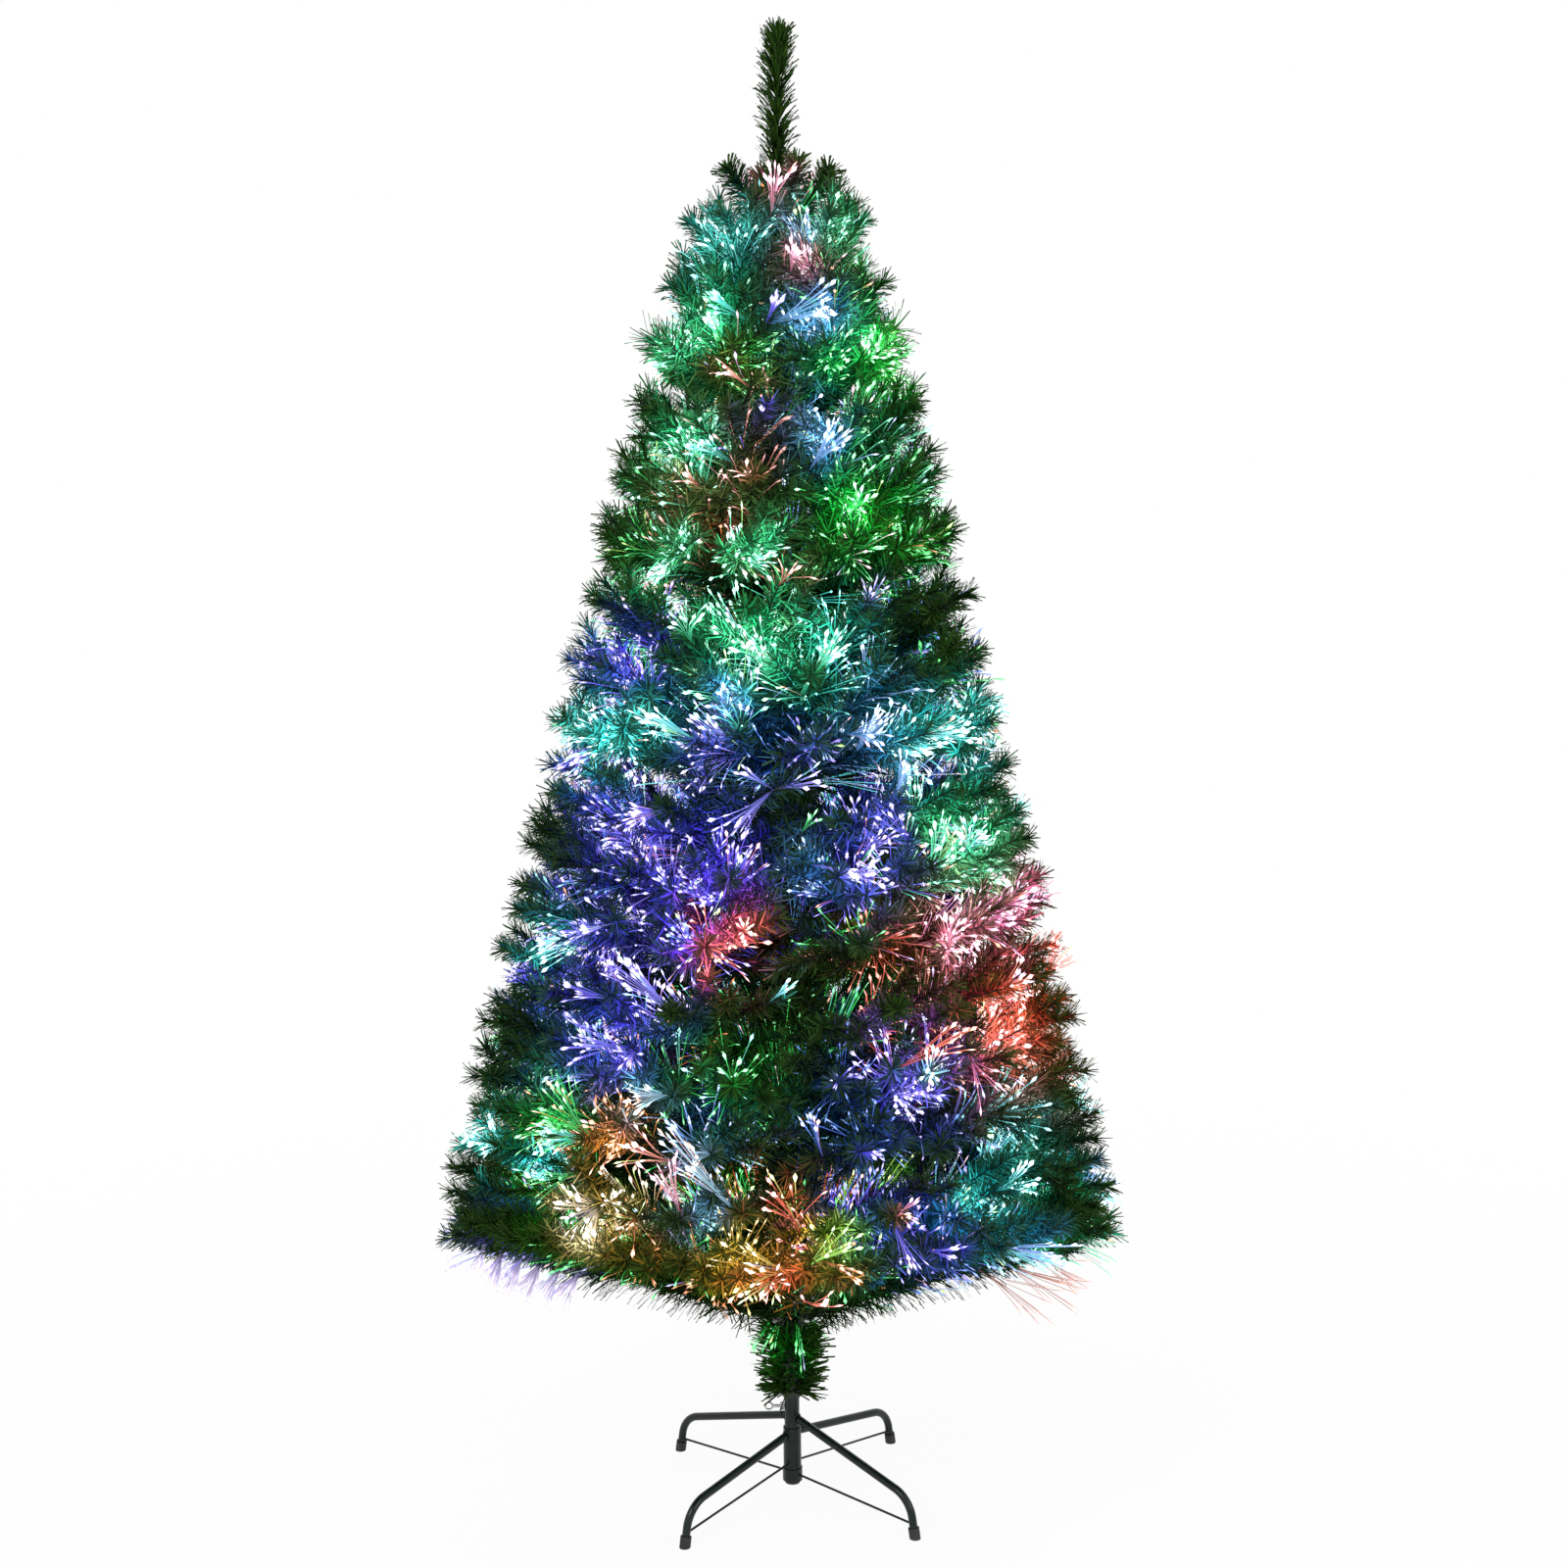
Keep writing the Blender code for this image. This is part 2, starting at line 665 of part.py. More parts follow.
def add_trunk_skirt(finish, collection):
    """Add the needle garland that hides the clamp of pole and stand."""
    bore = bore_radius(POLE_RADIUS + FIT_GAP, SKIRT_SIDES)
    radius = bore + SKIRT_WALL
    heights = [SKIRT_LENGTH * (1 - ring / SKIRT_RINGS) for ring in range(SKIRT_RINGS + 1)]
    profile = [(bore, 0.0), (bore, SKIRT_LENGTH), *[(radius, height) for height in heights]]
    sleeve = turned_mesh(profile, SKIRT_SIDES)

    def on_outside(face):
        middle = face.calc_center_median()
        return abs(face.normal.z) < 0.5 and math.hypot(middle.x, middle.y) > bore

    def needle_end(point):
        along = point.z / SKIRT_LENGTH
        rise = -SKIRT_LOWEST_FALL + (SKIRT_LOWEST_FALL + SKIRT_HIGHEST_RISE) * along
        reach = SKIRT_BRUSH_RADIUS * (1 - 0.35 * along**3)
        turn = math.atan2(point.y, point.x)
        return outward(reach, math.degrees(turn), point.z + rise)

    spiked(sleeve, on_outside, needle_end)
    skirt = add_piece("trunk_skirt", sleeve, finish, collection)
    skirt.location = (0.0, 0.0, STAND_TUBE_TOP + FIT_GAP)


def add_poles(finish, collection):
    """Add the lower pole, and the upper pole that plugs into it."""
    lower = turned_mesh(
        ring_profile(POLE_BORE, POLE_RADIUS, POLE_BOTTOM_HEIGHT, POLE_JOINT_HEIGHT), POLE_STEPS
    )
    add_piece("lower_pole", smooth(lower), finish, collection)
    shoulder = POLE_JOINT_HEIGHT + FIT_GAP
    spigot_bore = SPIGOT_RADIUS - SPIGOT_WALL
    plug_bore = LEADER_STEM_RADIUS + FIT_GAP
    plug_bottom = POLE_TOP_HEIGHT - POLE_PLUG_LENGTH
    upper = turned_mesh(
        [
            (spigot_bore, shoulder - SPIGOT_LENGTH),
            (spigot_bore, plug_bottom),
            (plug_bore, plug_bottom),
            (plug_bore, POLE_TOP_HEIGHT),
            (POLE_RADIUS, POLE_TOP_HEIGHT),
            (POLE_RADIUS, shoulder),
            (SPIGOT_RADIUS, shoulder),
            (SPIGOT_RADIUS, shoulder - SPIGOT_LENGTH),
        ],
        POLE_STEPS,
    )
    add_piece("upper_pole", smooth(upper), finish, collection)


def add_stand_tube(finish, collection):
    """Add the inner tube with its bottom ring and the hole for the clamp screw."""
    bore = bore_radius(POLE_RADIUS + SLIDING_GAP, TURN_STEPS)
    ring_top = STAND_TUBE_BOTTOM + STAND_RING_HEIGHT
    tube = turned_mesh(
        [
            (bore, STAND_TUBE_BOTTOM),
            (bore, STAND_TUBE_TOP),
            (STAND_TUBE_RADIUS, STAND_TUBE_TOP),
            (STAND_TUBE_RADIUS, ring_top),
            (STAND_RING_RADIUS, ring_top),
            (STAND_RING_RADIUS, STAND_TUBE_BOTTOM),
        ],
        TURN_STEPS,
    )
    drill = cylinder_mesh(
        SCREW_RADIUS + FIT_GAP,
        STAND_TUBE_RADIUS + CUT_OVERRUN,
        SMALL_STEPS,
        along_minus_x((0.0, 0.0, SCREW_HEIGHT)),
    )
    add_piece("stand_tube", smooth(boolean_mesh(tube, [drill], "DIFFERENCE")), finish, collection)


def add_sleeve(finish, collection):
    """Add the outer sleeve, which turns on the tube with the swinging legs."""
    mesh = turned_mesh(
        ring_profile(
            bore_radius(SLEEVE_BORE, TURN_STEPS), SLEEVE_RADIUS, 0.0, SLEEVE_LENGTH
        ),
        TURN_STEPS,
    )
    sleeve = add_piece("swivel_sleeve", smooth(mesh), finish, collection)
    sleeve.location = (0.0, 0.0, SLEEVE_BOTTOM)


def add_end_cap(finish, collection):
    """Add the plug that closes the tube and carries the pole."""
    flange_top = STAND_TUBE_BOTTOM - FIT_GAP
    plug_radius = POLE_RADIUS + SLIDING_GAP - FIT_GAP
    profile = [
        (0.0, END_CAP_TOP),
        (plug_radius, END_CAP_TOP),
        (plug_radius, flange_top),
        (STAND_TUBE_RADIUS, flange_top),
        (STAND_TUBE_RADIUS, flange_top - END_CAP_FLANGE),
        (0.0, flange_top - END_CAP_FLANGE),
    ]
    add_piece("end_cap", smooth(turned_mesh(profile, TURN_STEPS, closed=False)), finish, collection)


def leg_route(root_height):
    """Return a leg's line in the X-Z plane: a slope, a bend and a leaning foot."""
    lean = math.radians(LEG_LEAN_DEG)
    root = Vector((STAND_TUBE_RADIUS / 2, 0.0, root_height))
    up_foot = Vector((-math.sin(lean), 0.0, math.cos(lean)))
    floor_point = Vector((LEG_SPREAD_RADIUS, 0.0, 0.0))
    knee = floor_point + up_foot * (LEG_KNEE_HEIGHT / up_foot.z)
    down_slope = (knee - root).normalized()
    down_foot = -up_foot
    turn = down_slope.angle(down_foot)
    tangent = LEG_BEND_RADIUS * math.tan(turn / 2)
    bend_start = knee - down_slope * tangent
    inward = (down_foot - down_slope * down_slope.dot(down_foot)).normalized()
    centre = bend_start + inward * LEG_BEND_RADIUS
    bend = []
    for step in range(LEG_BEND_STEPS + 1):
        angle = turn * step / LEG_BEND_STEPS
        offset = down_slope * math.sin(angle) - inward * math.cos(angle)
        bend.append(centre + offset * LEG_BEND_RADIUS)
    foot = floor_point + up_foot * (CAP_FLOOR + FIT_GAP)
    return [(place, 1.0) for place in (root, *bend, foot)]


def add_leg(name, angle_deg, root_height, post_radius, finish, collection):
    """Add a bent leg, coped to the post that it is welded to."""
    leg = route_mesh([leg_route(root_height)], LEG_RADIUS, 2)
    post = cylinder_mesh(
        bore_radius(post_radius + FIT_GAP, TURN_STEPS),
        root_height + LEG_SPREAD_RADIUS,
        TURN_STEPS,
        Matrix.Identity(4),
    )
    mesh = smooth(boolean_mesh(leg, [post], "DIFFERENCE"))
    made = add_piece(name, mesh, finish, collection)
    made.rotation_euler = (0.0, 0.0, math.radians(angle_deg))


def add_brace(name, angle_deg, height, post_radius, finish, collection):
    """Add the thin rod that ties a leg's foot to the post."""
    lean = math.radians(LEG_LEAN_DEG)
    surface = LEG_RADIUS / math.cos(lean) + FIT_GAP
    top_edge = BRACE_FOOT_HEIGHT + BRACE_RADIUS
    end = LEG_SPREAD_RADIUS - top_edge * math.tan(lean) - surface
    start = post_radius + FIT_GAP
    route = [
        (Vector((start, 0.0, height)), 1.0),
        (Vector((end, 0.0, BRACE_FOOT_HEIGHT)), 1.0),
    ]
    made = add_piece(name, smooth(route_mesh([route], BRACE_RADIUS, 2)), finish, collection)
    made.rotation_euler = (0.0, 0.0, math.radians(angle_deg))


def foot_cap_mesh():
    """Return the cap of a leaning foot, flat on the floor at Z = 0."""
    bore = bore_radius(LEG_RADIUS + FIT_GAP, POLE_STEPS)
    radius = bore + CAP_WALL
    profile = [
        (0.0, CAP_FLOOR),
        (bore, CAP_FLOOR),
        (bore, CAP_HEIGHT),
        (radius, CAP_HEIGHT),
        (radius, -CUT_OVERRUN),
        (0.0, -CUT_OVERRUN),
    ]
    cap = turned_mesh(profile, POLE_STEPS, closed=False)
    cap.transform(Matrix.Rotation(math.radians(-LEG_LEAN_DEG), 4, "Y"))
    below = box_mesh(
        (-2 * radius, -2 * radius, -2 * CUT_OVERRUN - radius), (2 * radius, 2 * radius, 0.0)
    )
    return smooth(boolean_mesh(cap, [below], "DIFFERENCE"))


def add_foot_cap(name, angle_deg, mesh, finish, collection):
    """Add the cap on one foot."""
    cap = add_piece(name, mesh, finish, collection)
    cap.location = outward(LEG_SPREAD_RADIUS, angle_deg, 0.0)
    cap.rotation_euler = (0.0, 0.0, math.radians(angle_deg))


def add_legs(paint, rubber, collection):
    """Add both pairs of legs with their braces and foot caps."""
    cap_mesh = foot_cap_mesh()
    pairs = (
        (
            FIXED_LEGS_DEG,
            FIXED_LEG_HEIGHT,
            STAND_TUBE_RADIUS,
            FIXED_BRACE_HEIGHT,
            STAND_RING_RADIUS,
        ),
        (SWING_LEGS_DEG, SWING_LEG_HEIGHT, SLEEVE_RADIUS, SWING_BRACE_HEIGHT, SLEEVE_RADIUS),
    )
    for legs, leg_height, leg_post, brace_height, brace_post in pairs:
        for name, angle in legs.items():
            add_leg(name, angle, leg_height, leg_post, paint, collection)
            brace_name = name.replace("leg", "brace")
            add_brace(brace_name, angle, brace_height, brace_post, paint, collection)
            cap_name = name.replace("leg", "foot_cap")
            add_foot_cap(cap_name, angle, cap_mesh, rubber, collection)


def add_clamp(zinc, collection):
    """Add the weld nut and the eye screw that presses on the pole."""
    nut_start = STAND_TUBE_RADIUS + FIT_GAP
    nut = cylinder_mesh(
        NUT_RADIUS, NUT_LENGTH, 6, along_minus_x((-nut_start, 0.0, SCREW_HEIGHT))
    )
    thread = cylinder_mesh(
        bore_radius(SCREW_RADIUS + FIT_GAP, SMALL_STEPS),
        NUT_LENGTH + 2 * CUT_OVERRUN,
        SMALL_STEPS,
        along_minus_x((-nut_start + CUT_OVERRUN, 0.0, SCREW_HEIGHT)),
    )
    add_piece("clamp_nut", boolean_mesh(nut, [thread], "DIFFERENCE"), zinc, collection)
    shank_start = POLE_RADIUS + FIT_GAP
    shank_end = EYE_DISTANCE - EYE_RING_RADIUS
    shank = cylinder_mesh(
        SCREW_RADIUS,
        shank_end - shank_start,
        SMALL_STEPS,
        along_minus_x((-shank_start + EYE_DISTANCE, 0.0, 0.0)),
    )
    ring = torus_mesh(
        EYE_RING_RADIUS, EYE_RING_WIRE_RADIUS, POLE_STEPS, WIRE_STEPS, along_y((0.0, 0.0, 0.0))
    )
    mesh = smooth(boolean_mesh(shank, [ring], "UNION"))
    screw = add_piece("eye_screw", mesh, zinc, collection)
    screw.location = (-EYE_DISTANCE, 0.0, SCREW_HEIGHT)


def build():
    """Build the whole tree."""
    clear_scene()
    parts = new_collection("fibre_optic_christmas_tree")
    paint = material("green_paint", (0.016, 0.028, 0.024), 0.45)
    zinc = material("zinc_plate", (0.62, 0.63, 0.64), 0.32, 1.0)
    rubber = material("black_rubber", (0.012, 0.012, 0.013), 0.8)
    needles = material("green_needles", (0.010, 0.075, 0.038), 0.6)
    fibre = material("light_fibre", (0.55, 0.80, 0.82), 0.25)
    add_stand_tube(paint, parts)
    add_end_cap(rubber, parts)
    add_sleeve(paint, parts)
    add_legs(paint, rubber, parts)
    add_clamp(zinc, parts)
    add_poles(paint, parts)
    add_trunk_skirt(needles, parts)
    for tier in range(TIERS):
        add_tier(tier, paint, needles, parts)
        add_spray(tier, fibre, parts)
    add_leader(needles, parts)


build()
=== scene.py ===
"""Looks of the fibre-optic Christmas tree: needles, light fibres, painted stand, camera and light.

Every branch keeps its CAD routes, and gets needled twigs and bundles of light fibres, which move
with its hinge. Lengths are in metres, in the CAD frame.
"""

import math
from collections import namedtuple

import bpy
import numpy as np
from mathutils import Matrix, Vector


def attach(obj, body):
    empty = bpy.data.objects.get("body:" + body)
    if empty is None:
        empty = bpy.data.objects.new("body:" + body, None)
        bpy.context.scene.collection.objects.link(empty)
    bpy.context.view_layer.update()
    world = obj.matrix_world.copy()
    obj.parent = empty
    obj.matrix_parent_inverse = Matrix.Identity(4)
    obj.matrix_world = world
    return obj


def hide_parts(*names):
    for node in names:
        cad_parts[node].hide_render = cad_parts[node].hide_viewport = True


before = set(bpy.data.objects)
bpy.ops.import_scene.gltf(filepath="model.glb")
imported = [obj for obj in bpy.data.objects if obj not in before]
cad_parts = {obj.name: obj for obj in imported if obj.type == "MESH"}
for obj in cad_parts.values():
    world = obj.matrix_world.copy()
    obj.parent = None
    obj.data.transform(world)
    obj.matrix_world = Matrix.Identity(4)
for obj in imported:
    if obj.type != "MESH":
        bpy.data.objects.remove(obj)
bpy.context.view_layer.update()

# Sizes of the CAD frame
FOLIAGE_RADIUS = 0.428
FOLIAGE_BULGE = 0.018
TOP_TIP_RADIUS = 0.113
LOWEST_TIP_HEIGHT = 0.338
TOP_LEVEL_HEIGHT = 1.5705
LEVEL_PITCH = 0.0725
LEVELS_PER_TIER = 3
TIER_PITCH = LEVEL_PITCH * LEVELS_PER_TIER
FIRST_COLLAR_HEIGHT = 0.235
TIER_BRANCHES = (6, 5, 4, 4, 4, 3)
LOWER_TIERS = 3
# Tips of each tier's branches, from the lowest level to the highest
TIER_TIPS = ((3, 4, 2), (3, 4, 2), (3, 4, 2), (3, 3, 2), (3, 3, 2), (3, 2, 2))
TIER_TURNS_DEG = (0.0, 18.0, 45.0, 8.0, 52.0, 90.0)
# Where the tips of each level leave the stem: a middle tip, then the side ones
TIP_START_shares = ((0.58, 0.47), (0.34, 0.30), (0.20, 0.15))
TIP_SIDE_shares = {2: (-0.40, 0.40), 3: (-0.66, 0.0, 0.66), 4: (-0.75, -0.25, 0.25, 0.75)}
# Rise over run with which the tips of each tier end
TIP_END_SLOPES = (0.12, 0.16, 0.22, 0.30, 0.42, 0.60)
STEM_START_share = 0.02
STEM_LENGTH_share = 0.62
# A tip counts as its level's outermost one within this many degrees
OUTERMOST_SPARE_DEG = 1.0
PIN_DISTANCE = 0.020
EYE_RADIUS = 0.0031
EYE_WIRE_RADIUS = 0.0013
FERRULE_RADIUS = 0.0032
FERRULE_LENGTH = 0.018
POLE_TOP_HEIGHT = 1.500
POLE_RADIUS = 0.008
TREE_HEIGHT = 1.800
HUB_RADIUS = 0.0128
HUB_LENGTH = 0.028
HUB_BOTTOM = 0.012
HUB_CHAMFER = 0.0012
HUB_SIDES = 32
FIT_GAP = 0.0003
SKIRT_BOTTOM = 0.1283
SKIRT_LENGTH = 0.076
LEG_RADIUS = 0.0050
LEG_SPREAD_RADIUS = 0.197
LEG_KNEE_HEIGHT = 0.048
LEG_BEND_RADIUS = 0.038
LEG_LEAN_DEG = 10.0
LEG_ROOT_RADIUS = 0.00475
STAND_TUBE_RADIUS = 0.0095
SLEEVE_RADIUS = 0.0114
# Legs: turn in degrees, height at the post, radius of the post and body
LEGS = {
    "front_right": (-41.0, 0.102, STAND_TUBE_RADIUS, "stand"),
    "rear_left": (139.0, 0.102, STAND_TUBE_RADIUS, "stand"),
    "rear_right": (49.0, 0.080, SLEEVE_RADIUS, "swivel"),
    "front_left": (229.0, 0.080, SLEEVE_RADIUS, "swivel"),
}
LEG_SIDES = 28
# How deep a leg's end sits in its post, and how high over the floor its other end is, in its cap
LEG_SINK = 0.0006
LEG_END_HEIGHT = 0.004
# Places along a leg's slope, bend and foot
LEG_STEPS = (24, 22, 6)
# Weld round a leg's end: thickness, lift off the post, distance from the leg, lumps
WELD_RADIUS = 0.0013
WELD_LIFT = 0.0004
WELD_SPARE = 0.0002
WELD_LUMPS = 11
WELD_LUMP_share = 0.16
WELD_STEPS = 67
WELD_SIDES = 10

# Needles
NEEDLE_LENGTH = 0.0235
NEEDLE_LENGTH_shares = (0.80, 1.06)
NEEDLE_WIDTH = 0.0020
NEEDLE_WIDTH_shares = (0.8, 1.2)
NEEDLE_END_share = 0.60
NEEDLE_TWIST_DEG = 75.0
NEEDLES_PER_METRE = 2150
# How far needles lean out from their twig, along it and at its end
NEEDLE_WIDE_DEG = 58.0
NEEDLE_CLOSE_DEG = 46.0
NEEDLE_LEAN_NOISE_DEG = 9.0
# Turn round the twig from one needle to the next, which spreads them evenly
GOLDEN_TURN = math.pi * (3.0 - math.sqrt(5.0))
NEEDLE_TURN_NOISE = 0.35
NEEDLE_UPTURN = 0.07
# Towards a twig's end the needles close up and shorten, as this power of the place along it
CROWN_POWER = 8
CROWN_SHORTER_share = 0.06
# Needles inside the tree are longer and stand out more
FILLING = {"wide_deg": 66.0, "close_deg": 45.0, "size": 0.036}
STEM_NEEDLES = {"share": 0.8, "first": 0.10, **FILLING}
INNER_NEEDLES = {"share": 0.55, **FILLING}
TIP_NEEDLES = {"first": 0.04}

# Shape of the tree
TIP_PULL_IN = 0.013
# How much further the tree reaches on its left than on average
LEFT_LEAN_share = 0.03
# The lowest tips at the front, back and diagonals are bent up and trimmed, from this radius on
FRONT_TRIM_share = 0.06
FRONT_LIFT = 0.078
DIAGONAL_LIFT = 0.105
LIFT_START = 0.04
LIFT_LEVELS = 1.2
# Height of the underside at the trunk, its rise outwards, and its uneven edge
UNDERSIDE_HEIGHT = 0.198
UNDERSIDE_SLOPE = 0.21
UNDERSIDE_FRONT_SLOPE = 0.26
UNDERSIDE_DIAGONAL_SLOPE = 0.19
UNDERSIDE_WAVES = (18, 7)
UNDERSIDE_WAVE_HEIGHT = 0.009
UNDERSIDE_RAGGED = 0.018

# Twigs and wires
STEM_WIRE_RADIUS = 0.0021
TWIG_WIRE_RADIUS = 0.0012
WIRE_STEPS = 5
WIRE_SIDES = 5
WIRE_END_PLACE = 0.97
RING_STEPS = 24
RING_SIDES = 8
# Places and sizes along the ferrule, with its three crimps
FERRULE_PLACES = np.array((0.0, 0.06, 0.14, 0.30, 0.36, 0.42, 0.62, 0.68, 0.74, 0.92, 1.0))
FERRULE_SIZE_shares = np.array((0.82, 0.97, 1.0, 1.0, 0.86, 1.0, 1.0, 0.86, 1.0, 1.0, 0.86))
FERRULE_SIDES = 14
# Forks of a tip: where they leave it, how far aside, above and short of it they end
FORKS = ((0.28, 0.36, 0.20, 0.010), (0.52, 0.20, 0.46, 0.022))
FORK_PLACE_NOISE = 0.06
FORK_TURN_NOISE = 0.05
FORK_LIFT_NOISE = 0.010
FORK_END_NOISES = (-0.008, 0.012)
FORK_BEND = 0.5
# Cross twigs: how far they reach, where the first leaves its tip and how far on the next ones do
CROSS_TWIG_REACH_shares = (0.55, 0.78, 0.96)
CROSS_TWIG_START = 0.10
CROSS_TWIG_STEP = 0.17
CROSS_TWIG_TURN_NOISE_DEG = 2.5
CROSS_TWIG_LIFT = 0.020
CROSS_TWIG_LIFT_NOISE = 0.012
CROSS_TWIG_DROOP = 0.05
CROSS_TWIG_BEND = 0.4
# Inner twigs: where they leave the stem, and by how many degrees they turn aside and rise
INNER_TWIG_PLACES = (0.08, 0.16, 0.27, 0.38, 0.50)
INNER_TWIG_PLACE_NOISE = 0.03
INNER_TWIG_TURNS_DEG = (34.0, 64.0)
INNER_TWIG_TURN_NOISE_DEG = 10.0
INNER_TWIG_LIFTS_DEG = (28.0, 66.0)
INNER_TWIG_END_SLOPE = 0.5
INNER_TWIG_LENGTH = 0.130
INNER_TWIG_LEAST_share = 0.45
INNER_TWIG_GROWTH = 1.6

# Strips of needles wound round the pole
GARLAND_NEEDLE_LENGTH = 0.044
GARLAND_NEEDLES_PER_METRE = 10000
GARLAND_LIFTS_DEG = (10.0, 10.0)
GARLAND_TURNS_PER_METRE = 110
GARLAND_CORE_RADIUS = 0.0115
CORE_GAP = 0.0004
CORE_SIDES = 24
WOUND_TURN_NOISE = 0.2
WOUND_LIFT_NOISE_DEG = 20.0
WOUND_SIDE_NOISE = 0.60
WOUND_LENGTH_shares = (0.72, 1.06)
WOUND_SINK = 0.001
SKIRT_NEEDLES_PER_METRE = 9000
SKIRT_NEEDLE_WIDTH = 0.0032
SKIRT_NEEDLE_LENGTH = 0.035
SKIRT_LIFTS_DEG = (0.0, 50.0)
SKIRT_FLARE = 0.35
SKIRT_RIM = 0.004
POLE_JOINT_HEIGHT = 0.800
# Bare pole left at the ends of a strip: over a hub, under a collar, over the skirt, at the
# pole's top and at the poles' joint
OVER_HUB, UNDER_COLLAR, OVER_SKIRT, UNDER_TOP, BESIDE_JOINT = 0.004, 0.014, 0.002, 0.004, 0.006

# Leader and its whorl of short twigs
LEADER_LOW = TREE_HEIGHT - 0.205
LEADER_HIGH = TREE_HEIGHT - 0.024
LEADER_BEND = 0.003
LEADER_NEEDLE_WIDTH = 0.0030
LEADER_STEM_NEEDLES = {"share": 1.55, "wide_deg": 48.0, "close_deg": 38.0, "size": 0.0325}
LEADER_TOP_NEEDLES = {"share": 2.4, "wide_deg": 34.0, "close_deg": 24.0, "size": 0.030}
LEADER_TOP_PLACES = (0.78, 0.89, 1.0)
LEADER_FOOT_NEEDLES = {"share": 2.2, "wide_deg": 58.0, "close_deg": 46.0, "size": 0.038}
LEADER_FOOT_HEIGHTS = (1.505, 1.55, 1.595)
LEADER_WIRE_HEIGHTS = (1.466, 1.53, 1.60)
LEADER_WIRE_RADIUS = 0.0029
WHORL_NEEDLES = {"share": 2.6, "wide_deg": 66.0, "close_deg": 54.0, "size": 0.023}
WHORL_TURNS_DEG = (20.0, 110.0, 200.0, 290.0)
WHORL_ROOT_HEIGHT = POLE_TOP_HEIGHT + 0.045
WHORL_END_HEIGHT = POLE_TOP_HEIGHT + 0.130
WHORL_REACH = 0.062
WHORL_END_SLOPE = 1.4
WHORL_FIBRES = 9
WHORL_FIBRE_LENGTH = 0.085
WHORL_FIBRE_SPREAD = 0.45
WHORL_POWER_share = 0.7
# The whorl's light is the light of the places this share as far out
WHORL_LIGHT_shares = np.array((0.8, 0.8, 1.0))

# Light fibres
FIBRE_RADIUS = 0.00040
FIBRE_OVERHANG = 0.004
FAN_OVERHANG = 0.016
FIBRE_LENGTH_shares = (0.60, 1.0)
FIBRE_BEND_share = 0.45
FIBRE_MIDDLE_PLACES = (0.0, 0.45)
FIBRE_SIDES = 4
# Along a strand: radius, glow and share of the bright colour of its four rings and two caps
FIBRE_RADIUS_shares = np.array((0.5, 0.8, 1.1, 1.0))
FIBRE_GLOWS = (0.25, 0.65, 1.20, 2.30)
FIBRE_CAP_GLOWS = (0.30, 1.00)
FIBRE_BLENDS = (0.15, 0.35, 0.55, 1.0)
FIBRE_CAP_BLENDS = (0.10, 0.45)
# Shine of a strand with no power, by how much power raises it, and its limit
SHINE_FAINT = 0.35
SHINE_GROWTH = 0.95
SHINE_MOST = 1.30
COLOUR_NOISES = (0.85, 1.15)
POWER_NOISES = (0.55, 1.1)
BEAD_RADII = (0.0006, 0.0025)
BEAD_RADIUS_POWER = 1.8
BEAD_POWERS = (0.7, 1.5)
# End of a strand without a bead, against the strand
BARE_END_share = 1.5
BEAD_LENGTH = 0.012
BEAD_BELLY_share = 0.42
BEAD_WHITE_share = 0.42
BEAD_WHITE_POWERS = (0.2, 1.2)
GLINT_share = 0.7
GLINT_RADII = (0.0005, 0.0011)
GLINT_BRIGHT = (0.5, 1.4)
GLINT_LIMITS = (0.3, 1.3)
# Bundles of a tip: on the tip itself (0) or its first forks (1, 2), place, fibres, spread, length
BUNDLES = (
    (0, 0.46, 16, 0.90, 0.115),
    (0, 0.08, 10, 0.70, 0.110),
    (1, 0.30, 10, 0.95, 0.100),
    (2, 0.30, 10, 0.95, 0.100),
)
BUNDLE_PAST_END = 0.008
BUNDLE_LIGHT_share = 0.8
# Bundles are fuller where the light is strong: share with no power, growth with it, and limit
BUNDLE_FAINT = 0.5
BUNDLE_GROWTH = 0.6
BUNDLE_MOST = 1.5
# Bundles at the strong zones: least strength, depth of their ends, place of their start
HOT_STRENGTH = 1.0
HOT_DEPTH = 0.025
HOT_START_PLACE = 0.42
HOT_FIBRES = 30
HOT_SPREAD = 0.26
HOT_LENGTH = 0.15
# Bundles that leave a hub: degrees above level, fibres, spread, and limits of their reach
SPRAY_LIFTS_DEG = (14.0, 30.0, 46.0, 60.0)
SPRAY_LIFT_NOISE_DEG = 5.0
SPRAY_SIDES = (-0.5, 0.5)
SPRAY_SIDE_NOISES = (0.6, 1.1)
SPRAY_FIBRES = 7
SPRAY_SPREAD = 0.30
SPRAY_LENGTH = 0.25
SPRAY_RISE = 0.165
SPRAY_ROOM_share = 0.80
SPRAY_ROOM_RISE = 0.10
SPRAY_LEAST_SINE = 0.2
SPRAY_SINK = 0.001
# Light is more crowded where the tree is wide
CROWDING_LEAST = 0.50
CROWDING_PER_METRE = 1.5
LEAST_DEPTH = 0.002
# Light of a place: what it has with no zone near, and how a zone fades out from its middle
FAINTEST_POWER = 0.26
FAINTEST_WEIGHT = 0.02
ZONE_REACH_share = 1.2
ZONE_NOISES = (0.7, 1.0)
ZONE_FULL_share = 0.5
# The front's light is mirrored at planes with this turn, and shifted up further round
MIRROR_TURN = math.radians(73.0)
SIDE_SHIFT = 0.09
ACCENT_share = 0.12
ACCENTS = ("pink", "orange", "lavender", "ice_cyan", "lime")
TASSEL_SPREAD = 0.34
